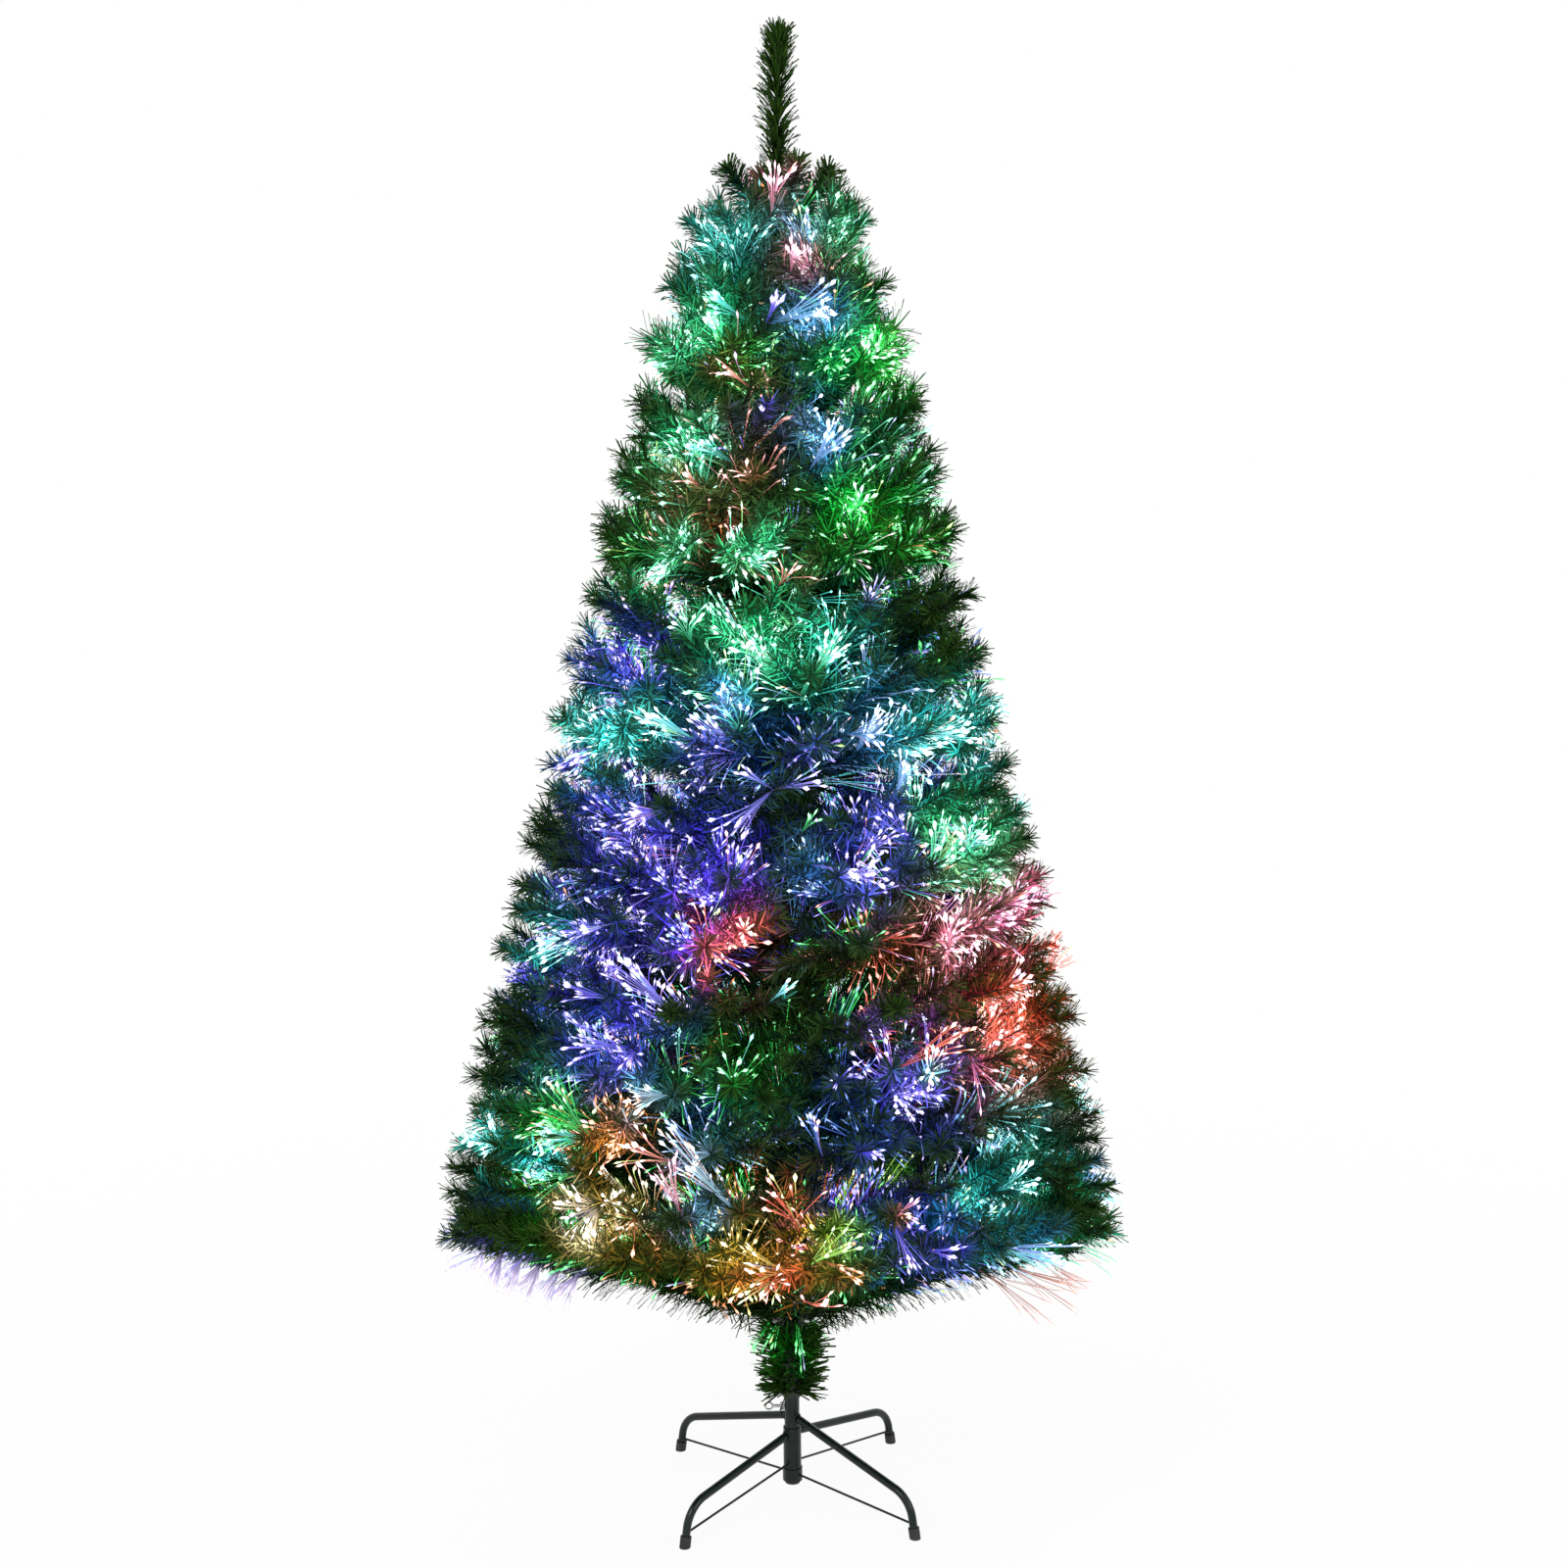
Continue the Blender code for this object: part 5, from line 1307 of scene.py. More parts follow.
def spray_plan(tier):
    """Return the fibres that leave the hub above a collar between the branches."""
    rng = np.random.default_rng(SEEDS["spray"] + tier)
    fibres = Fibres()
    bottom = collar_height(tier) + HUB_BOTTOM
    half_sector = 180.0 / TIER_BRANCHES[tier]
    for angle in branch_angles(tier):
        for row, elevation in enumerate(SPRAY_LIFTS_DEG):
            for side in SPRAY_SIDES:
                aside = side * half_sector * rng.uniform(*SPRAY_SIDE_NOISES)
                noise = rng.uniform(-SPRAY_LIFT_NOISE_DEG, SPRAY_LIFT_NOISE_DEG)
                lift = math.radians(elevation + noise)
                flat = heading(math.radians(angle + half_sector + aside))
                start = flat * (HUB_RADIUS - SPRAY_SINK)
                share = (row + 1) / (len(SPRAY_LIFTS_DEG) + 1)
                start = start + upward(bottom + HUB_LENGTH * share)
                way = flat * math.cos(lift) + upward(math.sin(lift))
                room = SPRAY_ROOM_share * foliage_radius(bottom + SPRAY_ROOM_RISE)
                rise = SPRAY_RISE / max(math.sin(lift), SPRAY_LEAST_SINE)
                reach = min(SPRAY_LENGTH, room, rise)
                colour, power = zone_of(start + way * reach, rng)
                fibres.add(start, way, SPRAY_SPREAD, reach, SPRAY_FIBRES, rng, colour, power)
    fibres.trim()
    if tier == 0:
        add_skirt_bundles(fibres, bottom, rng)
    return fibres


def add_skirt_bundles(fibres, bottom, rng):
    """Add the small bundles that hang from the lowest hub onto the skirt."""
    colour, power = LIGHT["green"], SKIRT_BUNDLE_POWER
    for turn_deg, length in SKIRT_BUNDLES:
        flat = heading(math.radians(turn_deg))
        start = flat * (HUB_RADIUS - SPRAY_SINK) + upward(bottom + SKIRT_BUNDLE_RISE)
        way = unit(flat + upward(-SKIRT_BUNDLE_FALL))
        fibres.add(
            start, way, SKIRT_BUNDLE_SPREAD, length, SKIRT_BUNDLE_FIBRES, rng, colour, power
        )


def turned(pile, profile, steps, finish):
    """Add a closed profile of radius and height turned about the trunk's middle line."""
    angles = 2 * math.pi * np.arange(steps) / steps
    profile = np.array(profile)
    rings = len(profile)
    points = np.empty((steps, rings, 3))
    points[..., 0] = np.cos(angles)[:, None] * profile[:, 0]
    points[..., 1] = np.sin(angles)[:, None] * profile[:, 0]
    points[..., 2] = profile[:, 1]
    faces = []
    for a in range(steps):
        b = (a + 1) % steps
        for r in range(rings):
            n = (r + 1) % rings
            faces += [
                (a * rings + r, a * rings + n, b * rings + n),
                (a * rings + r, b * rings + n, b * rings + r),
            ]
    u, v = np.linspace(*TURNED_MAP_EDGES, steps), np.linspace(*TURNED_MAP_EDGES, rings)
    maps = np.stack([np.repeat(u, rings), np.tile(v, steps)], axis=1)
    pile.add(points.reshape(-1, 3), np.array(faces), finish, maps)


def dress_spray(tier, fibres, finishes):
    """Make a spray: its hub on the pole and its fibres."""
    hub, strands = Pile(), Pile()
    bottom = collar_height(tier) + HUB_BOTTOM
    top, bore = bottom + HUB_LENGTH, POLE_RADIUS + FIT_GAP
    profile = (
        (bore, bottom),
        (bore, top),
        (HUB_RADIUS - HUB_CHAMFER, top),
        (HUB_RADIUS, top - HUB_CHAMFER),
        (HUB_RADIUS, bottom + HUB_CHAMFER),
        (HUB_RADIUS - HUB_CHAMFER, bottom),
    )
    turned(hub, profile, HUB_SIDES, 0)
    ring = hub.piece(f"fibre_hub_{tier + 1}", [finishes["plastic"]])
    fibres.fill(strands, 0)
    spray = strands.piece(f"spray_fibres_{tier + 1}", [finishes["fibre"]])
    body = "lower_section" if tier < LOWER_TIERS else "upper_section"
    settle(((ring, "black_plastic"), (spray, "fibres")), body, f"fibre_spray_{tier + 1}")


def leader_plan():
    """Return the leader's stem, its whorl of twigs and its few fibres."""
    rng = np.random.default_rng(SEEDS["leader_plan"])
    low, high = upward(LEADER_LOW), upward(LEADER_HIGH)
    stem = np.array((low, (low + high) / 2 + np.array((-LEADER_BEND, 0.0, 0.0)), high))
    whorl, fibres = [], Fibres()
    for turn_deg in WHORL_TURNS_DEG:
        start = upward(WHORL_ROOT_HEIGHT)
        end = heading(math.radians(turn_deg)) * WHORL_REACH + upward(WHORL_END_HEIGHT)
        whorl.append(swept(start, end, WHORL_END_SLOPE))
        colour, power = zone_of(end * WHORL_LIGHT_shares, rng)
        way, power = unit(end - start), WHORL_POWER_share * power
        length, spread = WHORL_FIBRE_LENGTH, WHORL_FIBRE_SPREAD
        fibres.add(start, way, spread, length, WHORL_FIBRES, rng, colour, power)
    return LeaderPlan(stem, whorl, fibres)


def dress_leader(plan, light, finishes):
    """Make the leader with its whorl."""
    rng = np.random.default_rng(SEEDS["leader_needles"])
    stem, whorl, fibres = plan
    foliage, wires, strands = Pile(), Pile(), Pile()
    top, _ = on_route(stem, LEADER_TOP_PLACES)
    foot = np.stack([upward(height) for height in LEADER_FOOT_HEIGHTS])
    core = np.stack([upward(height) for height in LEADER_WIRE_HEIGHTS])
    parts = [(stem, LEADER_STEM_NEEDLES), (top, LEADER_TOP_NEEDLES), (foot, LEADER_FOOT_NEEDLES)]
    parts += [(route, WHORL_NEEDLES) for route in whorl]
    groups = [twig_needles(rng, route, width=LEADER_NEEDLE_WIDTH, **kind) for route, kind in parts]
    add_needles(foliage, rng, np.concatenate(groups), light)
    needles = foliage.piece("leader_needles", [finishes["needle"]])
    add_wires(wires, [stem, *whorl], TWIG_WIRE_RADIUS, 0)
    add_wires(wires, [core], LEADER_WIRE_RADIUS, 0)
    wire = wires.piece("leader_wires", [finishes["wire"]])
    fibres.fill(strands, 0)
    spray = strands.piece("leader_fibres", [finishes["fibre"]])
    settle(((needles, "needles"), (wire, "green_paint")), "upper_section", "leader")
    settle(((spray, "fibres"),), "upper_section")


def wound_needles(
    rng,
    bottom,
    length,
    size,
    lifts_deg=GARLAND_LIFTS_DEG,
    crowd=GARLAND_NEEDLES_PER_METRE,
    width=NEEDLE_WIDTH,
    flare=0.0,
):
    """Return the needles of a strip wound round the pole, lifted by degrees from foot to top."""
    count = int(length * crowd)
    along = (np.arange(count) + rng.random(count)) / count
    turn = along * 2 * math.pi * length * GARLAND_TURNS_PER_METRE
    turn += rng.normal(0.0, WOUND_TURN_NOISE, count)
    flat = np.stack([np.cos(turn), np.sin(turn), np.zeros(count)], axis=1)
    across = np.stack([-flat[:, 1], flat[:, 0], np.zeros(count)], axis=1)
    roots = flat * (GARLAND_CORE_RADIUS - WOUND_SINK) + along[:, None] * upward(length)
    roots[:, 2] += bottom
    foot_deg, top_deg = lifts_deg
    noise_deg = rng.normal(0.0, WOUND_LIFT_NOISE_DEG, count)
    lift = np.radians(foot_deg + (top_deg - foot_deg) * along + noise_deg)
    side = rng.normal(0.0, WOUND_SIDE_NOISE, count)[:, None]
    lean = unit(flat + across * side) * np.cos(lift)[:, None]
    lean[:, 2] = np.sin(lift)
    reach = size * (1 + flare * along) * rng.uniform(*WOUND_LENGTH_shares, count)
    return needles_from(rng, roots, lean, across, reach, width)


def add_core(pile, bottom, length):
    """Add the wound wire core of a strip on the pole."""
    inner, outer, top = POLE_RADIUS + CORE_GAP, GARLAND_CORE_RADIUS, bottom + length
    profile = ((inner, bottom), (inner, top), (outer, top), (outer, bottom))
    turned(pile, profile, CORE_SIDES, 0)


def dress_garland(name, body, lengths, light, finishes):
    """Make the strip of needles wound round one half of the pole, between its collars."""
    rng = np.random.default_rng(len(name))
    foliage, core = Pile(), Pile()
    groups = [wound_needles(rng, low, top - low, GARLAND_NEEDLE_LENGTH) for low, top in lengths]
    add_needles(foliage, rng, np.concatenate(groups), light)
    for low, top in lengths:
        add_core(core, low, top - low)
    needles = foliage.piece(f"{name}_needles", [finishes["needle"]])
    wound = core.piece(f"{name}_core", [finishes["wire"]])
    settle(((needles, "needles"), (wound, "green_paint")), body)


def pole_lengths():
    """Return the bare lengths of the lower and upper pole between collars."""
    gaps = []
    for tier in range(len(TIER_BRANCHES)):
        low = collar_height(tier) + HUB_BOTTOM + HUB_LENGTH + OVER_HUB
        high = min(collar_height(tier + 1) - UNDER_COLLAR, POLE_TOP_HEIGHT - UNDER_TOP)
        gaps.append((low, high))
    joint_low, joint_high = gaps[LOWER_TIERS - 1]
    foot = (SKIRT_BOTTOM + SKIRT_LENGTH + OVER_SKIRT, collar_height(0) - UNDER_COLLAR)
    lower = [foot, *gaps[: LOWER_TIERS - 1], (joint_low, POLE_JOINT_HEIGHT - BESIDE_JOINT)]
    upper = [(POLE_JOINT_HEIGHT + BESIDE_JOINT, joint_high), *gaps[LOWER_TIERS:]]
    return lower, upper


def dress_skirt(light, finishes):
    """Make the strip of needles wound round the foot of the pole."""
    rng = np.random.default_rng(SEEDS["skirt"])
    foliage, core = Pile(), Pile()
    corners = wound_needles(
        rng,
        SKIRT_BOTTOM + SKIRT_RIM,
        SKIRT_LENGTH - SKIRT_RIM,
        SKIRT_NEEDLE_LENGTH,
        SKIRT_LIFTS_DEG,
        SKIRT_NEEDLES_PER_METRE,
        SKIRT_NEEDLE_WIDTH,
        SKIRT_FLARE,
    )
    add_needles(foliage, rng, corners, light)
    needles = foliage.piece("skirt_needles", [finishes["needle"]])
    add_core(core, SKIRT_BOTTOM, SKIRT_LENGTH)
    wound = core.piece("skirt_wire", [finishes["wire"]])
    settle(((needles, "needles"), (wound, "green_paint")), "lower_section", "trunk_skirt")


def leg_line(root_height, post_radius):
    """Return the places along a leg from its post to its foot, its slope and its line's root."""
    lean = math.radians(LEG_LEAN_DEG)
    root = np.array((LEG_ROOT_RADIUS, 0.0, root_height))
    up_foot = np.array((-math.sin(lean), 0.0, math.cos(lean)))
    floor_point = np.array((LEG_SPREAD_RADIUS, 0.0, 0.0))
    knee = floor_point + up_foot * (LEG_KNEE_HEIGHT / up_foot[2])
    slope = unit(knee - root)
    turn = math.acos(slope @ -up_foot)
    bend_start = knee - slope * LEG_BEND_RADIUS * math.tan(turn / 2)
    inward = unit(-up_foot - slope * (slope @ -up_foot))
    centre = bend_start + inward * LEG_BEND_RADIUS
    slope_steps, bend_steps, foot_steps = LEG_STEPS
    angles = np.linspace(0.0, turn, bend_steps)[:, None]
    bend = centre + LEG_BEND_RADIUS * (slope * np.sin(angles) - inward * np.cos(angles))
    first = root + slope * (post_radius - LEG_SINK - LEG_ROOT_RADIUS) / slope[0]
    upper = np.linspace(first, bend_start, slope_steps)[:-1]
    foot = np.linspace(bend[-1], floor_point + up_foot * LEG_END_HEIGHT, foot_steps)[1:]
    return np.concatenate([upper, bend, foot]), slope, root


def weld_line(slope, root, post_radius):
    """Return the places round a leg where it meets its round post."""
    across = np.array((0.0, 1.0, 0.0))
    above = np.cross(slope, across)
    turns = np.linspace(0.0, 2 * math.pi, WELD_STEPS)[:, None]
    rim = root + (across * np.cos(turns) + above * np.sin(turns)) * (LEG_RADIUS + WELD_SPARE)
    flat, ahead = slope[0] ** 2, rim[:, 0] * slope[0]
    over = rim[:, 0] ** 2 + rim[:, 1] ** 2 - (post_radius + WELD_LIFT) ** 2
    reach = (np.sqrt(ahead**2 - flat * over) - ahead) / flat
    return rim + slope * reach[:, None]


def laid_tube(row, radii, sides, normal):
    """Return points and faces of a tube whose line bends only round the direction given."""
    flat = Vector(normal).rotation_difference(Vector((0.0, 0.0, 1.0))).to_matrix().to_4x4()
    points, faces = tube(moved(row, flat)[None], radii[None], sides)
    return moved(points, flat.inverted()), faces


def dress_leg(name, finishes):
    """Make a leg: one smooth bent tube and the lumpy weld that holds it to its post."""
    turn_deg, height, post_radius, body = LEGS[name]
    line, slope, root = leg_line(height, post_radius)
    weld = weld_line(slope, root, post_radius)
    lumps = np.cos(WELD_LUMPS * np.linspace(0.0, 2 * math.pi, WELD_STEPS))
    place = Matrix.Rotation(math.radians(turn_deg), 4, "Z")
    shapes = (
        (line, np.full(len(line), LEG_RADIUS), LEG_SIDES, (0.0, 1.0, 0.0)),
        (weld, WELD_RADIUS * (1 + WELD_LUMP_share * lumps), WELD_SIDES, slope),
    )
    leg = Pile()
    for cell, (row, radii, sides, normal) in enumerate(shapes):
        points, faces = laid_tube(row, radii, sides, normal)
        maps = tube_map(cells(cell, 1, 2), 2, len(row), sides)
        leg.add(moved(points, place), faces, 0, maps)
    made = leg.piece(f"leg_tube_{name}", [finishes["paint"]])
    settle(((made, "green_paint"),), body, f"leg_{name}")


def node_group(name, inputs, outputs):
    """Return a new shader group with its input and output nodes."""
    group = bpy.data.node_groups.new(name, "ShaderNodeTree")
    for label, kind, value in inputs:
        group.interface.new_socket(label, in_out="INPUT", socket_type=kind).default_value = value
    for label, kind in outputs:
        group.interface.new_socket(label, in_out="OUTPUT", socket_type=kind)
    return group, group.nodes.new("NodeGroupInput"), group.nodes.new("NodeGroupOutput")


def new_node(tree, kind, settings=(), **values):
    """Return a new node with its settings and its plain input values."""
    made = tree.nodes.new(kind)
    for key, value in dict(settings).items():
        setattr(made, key, value)
    for label, value in values.items():
        made.inputs[label.replace("_", " ")].default_value = value
    return made


def attribute_node(tree, name):
    """Return a node that reads one of a piece's own values."""
    return new_node(tree, "ShaderNodeAttribute", {"attribute_name": name})


def feed(tree, socket, value):
    """Link a socket to another one, or give it a plain value."""
    if isinstance(value, bpy.types.NodeSocket):
        tree.links.new(value, socket)
    else:
        socket.default_value = value


def mixed(tree, factor, a, b, blend="MIX"):
    """Return the output of a colour mix of two sockets or colours."""
    mix = new_node(tree, "ShaderNodeMix", {"data_type": "RGBA", "blend_type": blend})
    for number, value in ((0, factor), (6, a), (7, b)):
        feed(tree, mix.inputs[number], value)
    return mix.outputs[2]


def reckoned(tree, operation, *values):
    """Return the output of a sum, product or other operation on sockets and numbers."""
    step = new_node(tree, "ShaderNodeMath", {"operation": operation})
    for socket, value in zip(step.inputs, values, strict=False):
        feed(tree, socket, value)
    return step.outputs[0]


def grey_of(tree, value):
    """Return a value as a grey."""
    grey = new_node(tree, "ShaderNodeCombineColor")
    for socket in grey.inputs:
        tree.links.new(value, socket)
    return grey.outputs[0]


def ranged(tree, *values):
    """Return a value carried from one range to another: value, low, high, new low, new high."""
    step = new_node(tree, "ShaderNodeMapRange")
    for label, value in zip(("Value", "From Min", "From Max", "To Min", "To Max"), values, strict=True):
        feed(tree, step.inputs[label], value)
    return step.outputs["Result"]


def needle_film_group():
    """Colour of needle film: every needle differs a little, and painted shade makes it dark at its
    root.
    """
    group, inside, out = node_group(
        "needle_film",
        (
            ("Dark", "NodeSocketColor", (0.005, 0.018, 0.003, 1.0)),
            ("Fresh", "NodeSocketColor", (0.038, 0.102, 0.012, 1.0)),
            ("Root Shade", "NodeSocketFloat", 0.35),
        ),
        (("Color", "NodeSocketColor"), ("Roughness", "NodeSocketFloat")),
    )
    tone = attribute_node(group, "tone").outputs["Fac"]
    along = attribute_node(group, "along").outputs["Fac"]
    place = new_node(group, "ShaderNodeTexCoord")
    patches = new_node(group, "ShaderNodeTexNoise", Scale=14.0, Detail=3.0, Roughness=0.6)
    group.links.new(place.outputs["Object"], patches.inputs["Vector"])
    patch = ranged(group, patches.outputs["Fac"], 0.3, 0.7, 0.0, 0.35)
    fresh = reckoned(group, "MULTIPLY_ADD", tone, 0.65, patch)
    film = mixed(group, fresh, inside.outputs["Dark"], inside.outputs["Fresh"])
    # Painted shade: each needle is darker towards its root, where the needles crowd round their twig.
    shade = ranged(group, along, 0.0, 0.7, inside.outputs["Root Shade"], 1.0)
    shaded = mixed(group, 1.0, film, grey_of(group, shade), "MULTIPLY")
    group.links.new(shaded, out.inputs["Color"])
    group.links.new(ranged(group, tone, 0.0, 1.0, 0.45, 0.70), out.inputs["Roughness"])
    return group


def thrown_light_group():
    """Light that the needles give back: the fibres' light, tinted by the green film."""
    group, inside, out = node_group(
        "thrown_light",
        (
            ("Tint", "NodeSocketColor", (0.85, 1.00, 0.85, 1.0)),
            ("Needle Spread", "NodeSocketFloat", 0.80),
        ),
        (("Color", "NodeSocketColor"),),
    )
    light = attribute_node(group, "light").outputs["Color"]
    tone = attribute_node(group, "tone").outputs["Fac"]
    tinted = mixed(group, 1.0, light, inside.outputs["Tint"], "MULTIPLY")
    # Painted glints: the tone to the fifth power makes a few needles, picked at random, many times
    # brighter, as painted highlights off the film.
    glints = reckoned(group, "POWER", tone, 5.0)
    rest = reckoned(group, "SUBTRACT", 1.0, inside.outputs["Needle Spread"])
    spread = ranged(group, glints, 0.0, 1.0, rest, 5.6)
    shown = mixed(group, 1.0, tinted, grey_of(group, spread), "MULTIPLY")
    group.links.new(shown, out.inputs["Color"])
    return group


def coat_group():
    """A painted, plated or moulded coat: faint mottling, dust and an uneven skin."""
    group, inside, out = node_group(
        "coat",
        (
            ("Color", "NodeSocketColor", (0.5, 0.5, 0.5, 1.0)),
            ("Mottle", "NodeSocketFloat", 0.2),
            ("Roughness", "NodeSocketFloat", 0.4),
            ("Grain Scale", "NodeSocketFloat", 900.0),
        ),
        (("Color", "NodeSocketColor"), ("Roughness", "NodeSocketFloat"), ("Height", "NodeSocketFloat")),
    )
    place = new_node(group, "ShaderNodeTexCoord").outputs["Object"]
    broad = new_node(group, "ShaderNodeTexNoise", Scale=38.0, Detail=4.0, Roughness=0.6)
    grain = new_node(group, "ShaderNodeTexNoise", Detail=2.0)
    group.links.new(place, broad.inputs["Vector"])
    group.links.new(place, grain.inputs["Vector"])
    group.links.new(inside.outputs["Grain Scale"], grain.inputs["Scale"])
    pale = mixed(group, 0.5, inside.outputs["Color"], (0.30, 0.32, 0.31, 1.0))
    spots = ranged(group, broad.outputs["Fac"], 0.45, 0.75, 0.0, 1.0)
    spots = reckoned(group, "MULTIPLY", spots, inside.outputs["Mottle"])
    mottled = mixed(group, spots, inside.outputs["Color"], pale)
    uneven = ranged(group, broad.outputs["Fac"], 0.3, 0.7, -0.1, 0.1)
    rough = reckoned(group, "ADD", uneven, inside.outputs["Roughness"])
    group.links.new(mottled, out.inputs["Color"])
    group.links.new(rough, out.inputs["Roughness"])
    group.links.new(grain.outputs["Fac"], out.inputs["Height"])
    return group


def new_material(name):
    """Return a material with its tree and its Principled shader."""
    made = bpy.data.materials.new(name)
    made.use_nodes = True
    made.cycles.emission_sampling = "NONE"
    return made, made.node_tree, made.node_tree.nodes["Principled BSDF"]


def needle_material(film, thrown):
    """Return the finish of the needles."""
    made, tree, shader = new_material("needle_pvc")
    colour = new_node(tree, "ShaderNodeGroup", {"node_tree": film})
    tree.links.new(colour.outputs["Color"], shader.inputs["Base Color"])
    tree.links.new(colour.outputs["Roughness"], shader.inputs["Roughness"])
    lit = new_node(tree, "ShaderNodeGroup", {"node_tree": thrown})
    tree.links.new(lit.outputs["Color"], shader.inputs["Emission Color"])
    shader.inputs["Emission Strength"].default_value = 1.0
    shader.inputs["Specular IOR Level"].default_value = 0.05
    return made


def fibre_material():
    """Return the finish of the light fibres, clear strands with bright ends."""
    made, tree, shader = new_material("light_fibre")
    lit = attribute_node(tree, "light")
    tree.links.new(lit.outputs["Color"], shader.inputs["Emission Color"])
    shader.inputs["Emission Strength"].default_value = 1.0
    shader.inputs["Base Color"].default_value = (0.09, 0.13, 0.12, 1.0)
    shader.inputs["Roughness"].default_value = 0.22
    shader.inputs["Specular IOR Level"].default_value = 0.30
    return made


def coated_material(name, coat, bump, metallic=0.0, clear=0.0, specular=0.5, **values):
    """Return a coated finish."""
    made, tree, shader = new_material(name)
    skin = new_node(tree, "ShaderNodeGroup", {"node_tree": coat}, **values)
    tree.links.new(skin.outputs["Color"], shader.inputs["Base Color"])
    tree.links.new(skin.outputs["Roughness"], shader.inputs["Roughness"])
    raised = new_node(tree, "ShaderNodeBump", Strength=bump, Distance=0.0002)
    tree.links.new(skin.outputs["Height"], raised.inputs["Height"])
    tree.links.new(raised.outputs["Normal"], shader.inputs["Normal"])
    shader.inputs["Metallic"].default_value = metallic
    shader.inputs["Specular IOR Level"].default_value = specular
    shader.inputs["Coat Weight"].default_value = clear
    shader.inputs["Coat Roughness"].default_value = 0.12
    return made


def all_finishes():
    """Return the finishes of the tree."""
    film, thrown, coat = needle_film_group(), thrown_light_group(), coat_group()
    return {
        "needle": needle_material(film, thrown),
        "fibre": fibre_material(),
        "wire": coated_material(
            "twisted_wire", coat, 0.4, Color=(0.012, 0.020, 0.012, 1.0), Mottle=0.25, Roughness=0.5
        ),
        "paint": coated_material(
            "green_steel",
            coat,
            0.15,
            clear=0.12,
            specular=0.18,
            Color=(0.005, 0.012, 0.010, 1.0),
            Mottle=0.08,
            Roughness=0.20,
        ),
        "zinc": coated_material(
            "zinc_steel", coat, 0.3, 1.0, Color=(0.60, 0.61, 0.62, 1.0), Mottle=0.5, Roughness=0.32
        ),
        "rubber": coated_material(
            "black_rubber", coat, 0.6, Color=(0.010, 0.010, 0.011, 1.0), Mottle=0.25, Roughness=0.68
        ),
        "plastic": coated_material(
            "black_plastic", coat, 0.3, Color=(0.012, 0.013, 0.013, 1.0), Mottle=0.1, Roughness=0.42
        ),
    }


def finish_frame(finishes):
    """Give the CAD pieces that stay in sight their finishes."""
    kinds = {
        "stand_tube": "paint",
        "swivel_sleeve": "paint",
        "brace": "paint",
        "lower_pole": "paint",
        "upper_pole": "paint",
        "branch_collar": "paint",
        "end_cap": "plastic",
        "foot_cap": "rubber",
        "clamp_nut": "zinc",
        "eye_screw": "zinc",
    }
    for name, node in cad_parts.items():
        for start, kind in kinds.items():
            if name.startswith(start):
                for slot in node.material_slots:
                    slot.material = finishes[kind]


def make_camera():
    """Place the camera at the photograph's view."""
    pitch, turn, roll = map(math.radians, (CAMERA_PITCH_DEG, CAMERA_TURN_DEG, CAMERA_ROLL_DEG))
    level = Vector((math.sin(turn), math.cos(turn), 0.0))
    forward = level * math.cos(pitch) + Vector((0.0, 0.0, -math.sin(pitch)))
    right = Vector((math.cos(turn), -math.sin(turn), 0.0))
    up = right.cross(forward)
    side = right * math.cos(roll) + up * math.sin(roll)
    above = up * math.cos(roll) - right * math.sin(roll)
    axes = Matrix((side, above, -forward)).transposed()
    data = bpy.data.cameras.new("camera")
    data.sensor_width = SENSOR_WIDTH
    data.lens = SENSOR_WIDTH * FOCAL_PIXELS / PHOTO_PIXELS
    camera = bpy.data.objects.new("camera", data)
    camera.matrix_world = Matrix.Translation(CAMERA_PLACE) @ axes.to_4x4()
    bpy.context.scene.collection.objects.link(camera)
    bpy.context.scene.camera = camera


def add_studio_light(name, place, aim_height, size, power):
    """Add one soft studio light that is aimed at the trunk."""
    data = bpy.data.lights.new(name, "AREA")
    data.shape = "DISK"
    data.size = size
    data.energy = power
    lamp = bpy.data.objects.new(name, data)
    lamp.location = place
    way = Vector((0.0, 0.0, aim_height)) - Vector(place)
    lamp.rotation_euler = way.to_track_quat("-Z", "Y").to_euler()
    bpy.context.scene.collection.objects.link(lamp)


def seen_directly(tree):
    """Return how far a ray is one that shows the background: from the camera, a mirror or glass."""
    path = new_node(tree, "ShaderNodeLightPath")
    total = path.outputs["Is Camera Ray"]
    for label in ("Is Glossy Ray", "Is Transmission Ray"):
        total = reckoned(tree, "MAXIMUM", total, path.outputs[label])
    return total


def shader_mix(tree, factor, first, second):
    """Return the output of a mix of two shaders."""
    mix = new_node(tree, "ShaderNodeMixShader")
    for socket, source in zip(mix.inputs, (factor, first.outputs[0], second.outputs[0]), strict=True):
        tree.links.new(source, socket)
    return mix.outputs[0]


def make_surroundings():
    """Make the even soft light all round, which shows as white behind the tree."""
    world = bpy.data.worlds.new("studio")
    world.use_nodes = True
    tree = world.node_tree
    tree.nodes.clear()
    white = (1.0, 1.0, 1.0, 1.0)
    soft = new_node(tree, "ShaderNodeBackground", Color=white, Strength=SURROUNDINGS_STRENGTH)
    shown = new_node(tree, "ShaderNodeBackground", Color=white, Strength=1.0)
    out = new_node(tree, "ShaderNodeOutputWorld")
    tree.links.new(shader_mix(tree, seen_directly(tree), soft, shown), out.inputs["Surface"])
    bpy.context.scene.world = world


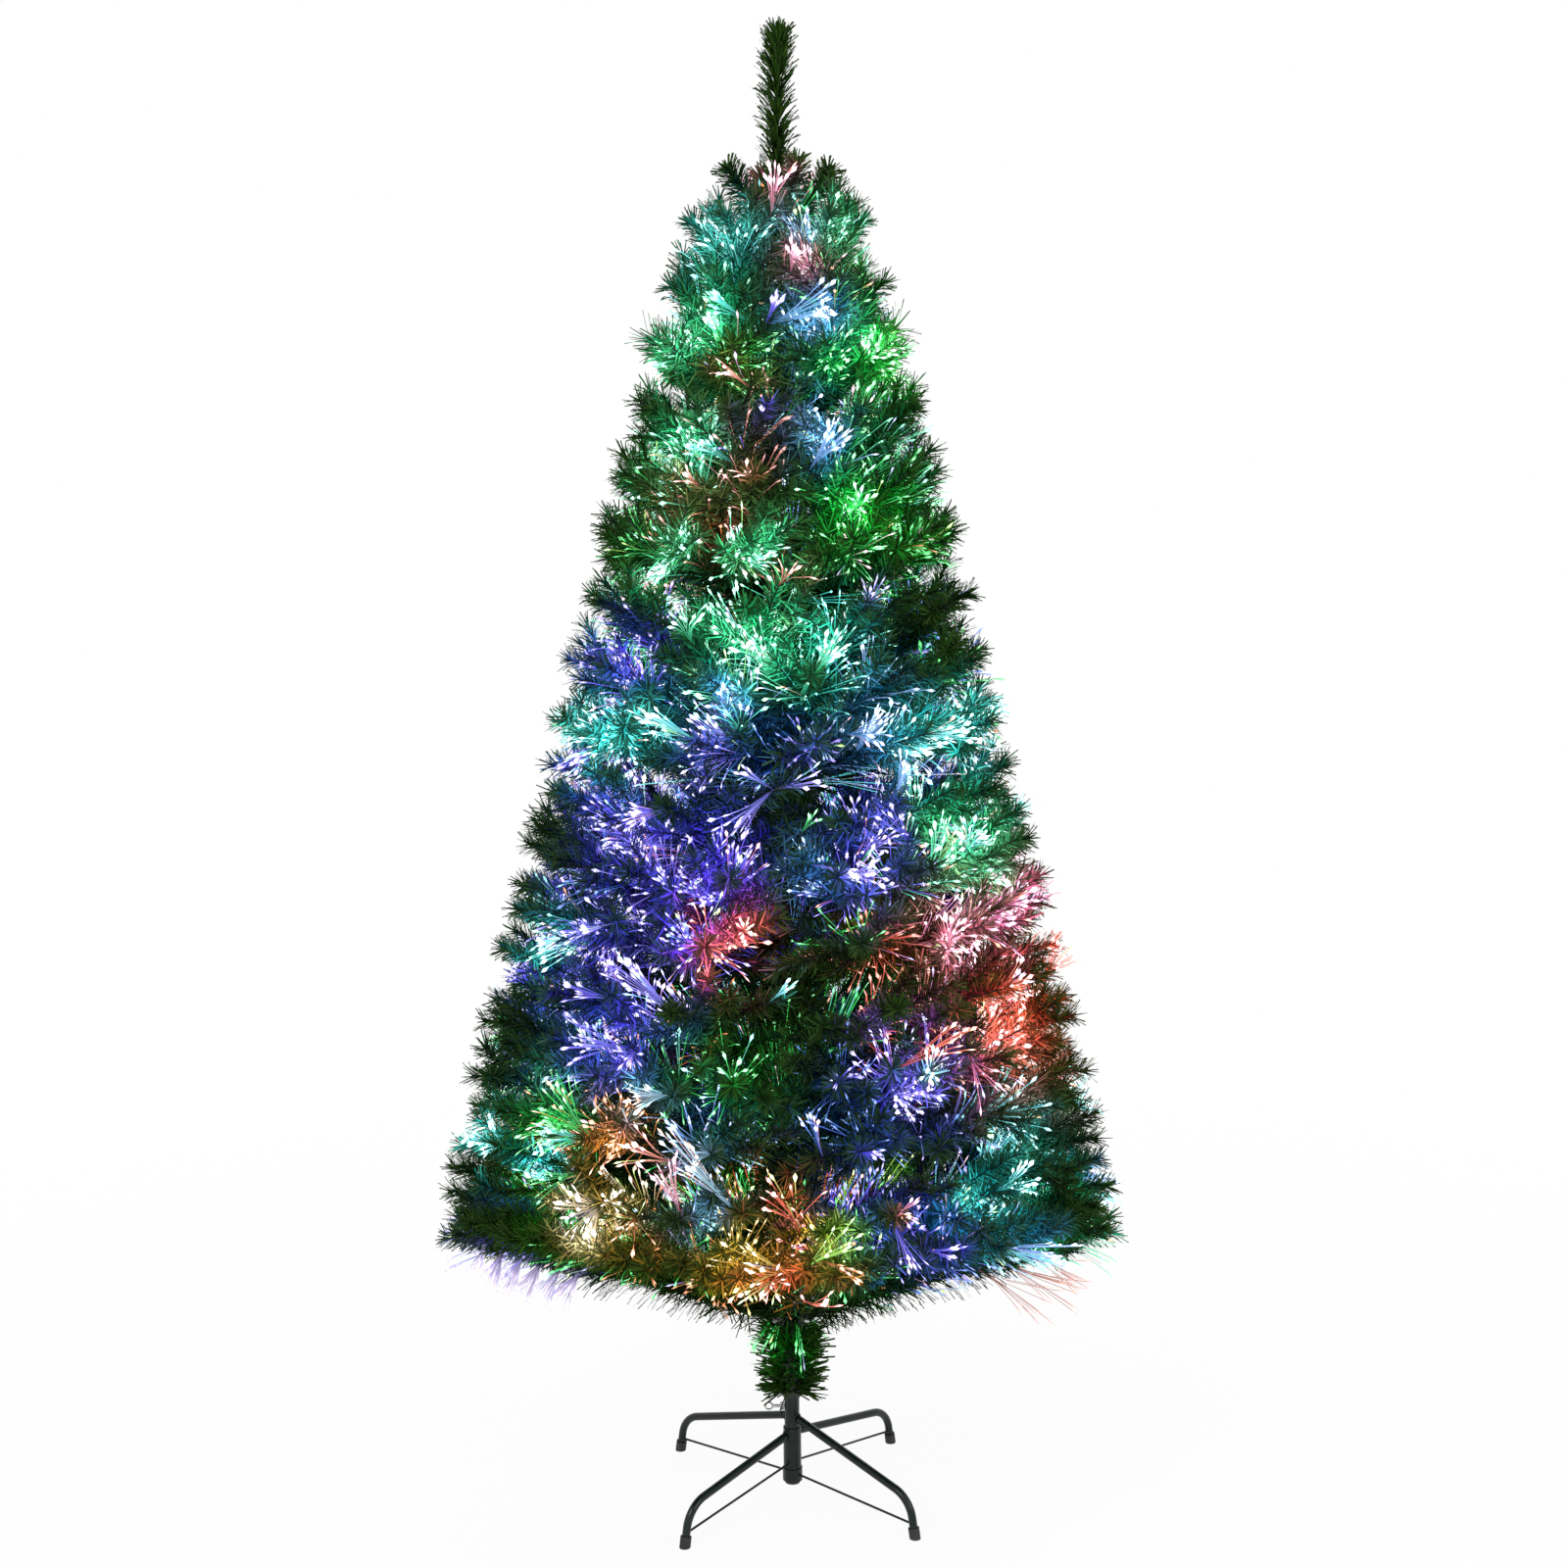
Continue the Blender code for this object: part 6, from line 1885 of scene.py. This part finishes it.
def floor_material():
    """Return the finish of the floor: pale, with the tree's shadow near it, and white far off."""
    pale = bpy.data.materials.new("pale_floor")
    pale.use_nodes = True
    tree = pale.node_tree
    shader = tree.nodes["Principled BSDF"]
    shader.inputs["Base Color"].default_value = (0.95, 0.95, 0.95, 1.0)
    shader.inputs["Roughness"].default_value = 0.9
    shader.inputs["Specular IOR Level"].default_value = 0.0
    plain = new_node(tree, "ShaderNodeEmission", Color=(1.0, 1.0, 1.0, 1.0), Strength=1.0)
    place = new_node(tree, "ShaderNodeTexCoord")
    far = new_node(tree, "ShaderNodeVectorMath", {"operation": "LENGTH"})
    tree.links.new(place.outputs["Object"], far.inputs[0])
    whiteness = ranged(tree, far.outputs["Value"], 0.3, 2.0, 0.93, 1.0)
    share = reckoned(tree, "MULTIPLY", seen_directly(tree), whiteness)
    surface = tree.nodes["Material Output"].inputs["Surface"]
    tree.links.new(shader_mix(tree, share, shader, plain), surface)
    return pale


def make_stage():
    """Make the pale floor, the white surroundings and the lights."""
    make_surroundings()
    mesh = bpy.data.meshes.new("studio_floor")
    size = FLOOR_HALF_SIZE
    corners = [(-size, -size, 0.0), (size, -size, 0.0), (size, size, 0.0), (-size, size, 0.0)]
    mesh.from_pydata(corners, [], [(0, 1, 2, 3)])
    mesh.materials.append(floor_material())
    floor = bpy.data.objects.new("studio_floor", mesh)
    bpy.context.scene.collection.objects.link(floor)
    for light in STUDIO_LIGHTS:
        add_studio_light(*light)


def dress_tree():
    """Build every piece of the tree's looks."""
    finishes = all_finishes()
    finish_frame(finishes)
    for name in LEGS:
        dress_leg(name, finishes)
    plans = {}
    for tier, count in enumerate(TIER_BRANCHES):
        for number in range(count):
            rng = np.random.default_rng(SEEDS["branch_plan"] + 10 * tier + number)
            plans[tier, number] = branch_plan(tier, number, rng)
    sprays = [spray_plan(tier) for tier in range(len(TIER_BRANCHES))]
    leader = leader_plan()
    add_hot_bundles(plans)
    add_fans(plans)
    add_tassels(plans)
    found = [plan.fibres.beads() for plan in plans.values()]
    found += [spray.beads() for spray in sprays] + [leader.fibres.beads()]
    light = light_field(np.concatenate(found))
    for (tier, number), plan in plans.items():
        dress_branch(tier, number, plan, light, finishes)
    for tier, fibres in enumerate(sprays):
        dress_spray(tier, fibres, finishes)
    dress_leader(leader, light, finishes)
    dress_skirt(light, finishes)
    lower, upper = pole_lengths()
    dress_garland("garland_low", "lower_section", lower, light, finishes)
    dress_garland("garland_high", "upper_section", upper, light, finishes)


bpy.context.scene.view_settings.view_transform = "Standard"
make_camera()
make_stage()
dress_tree()
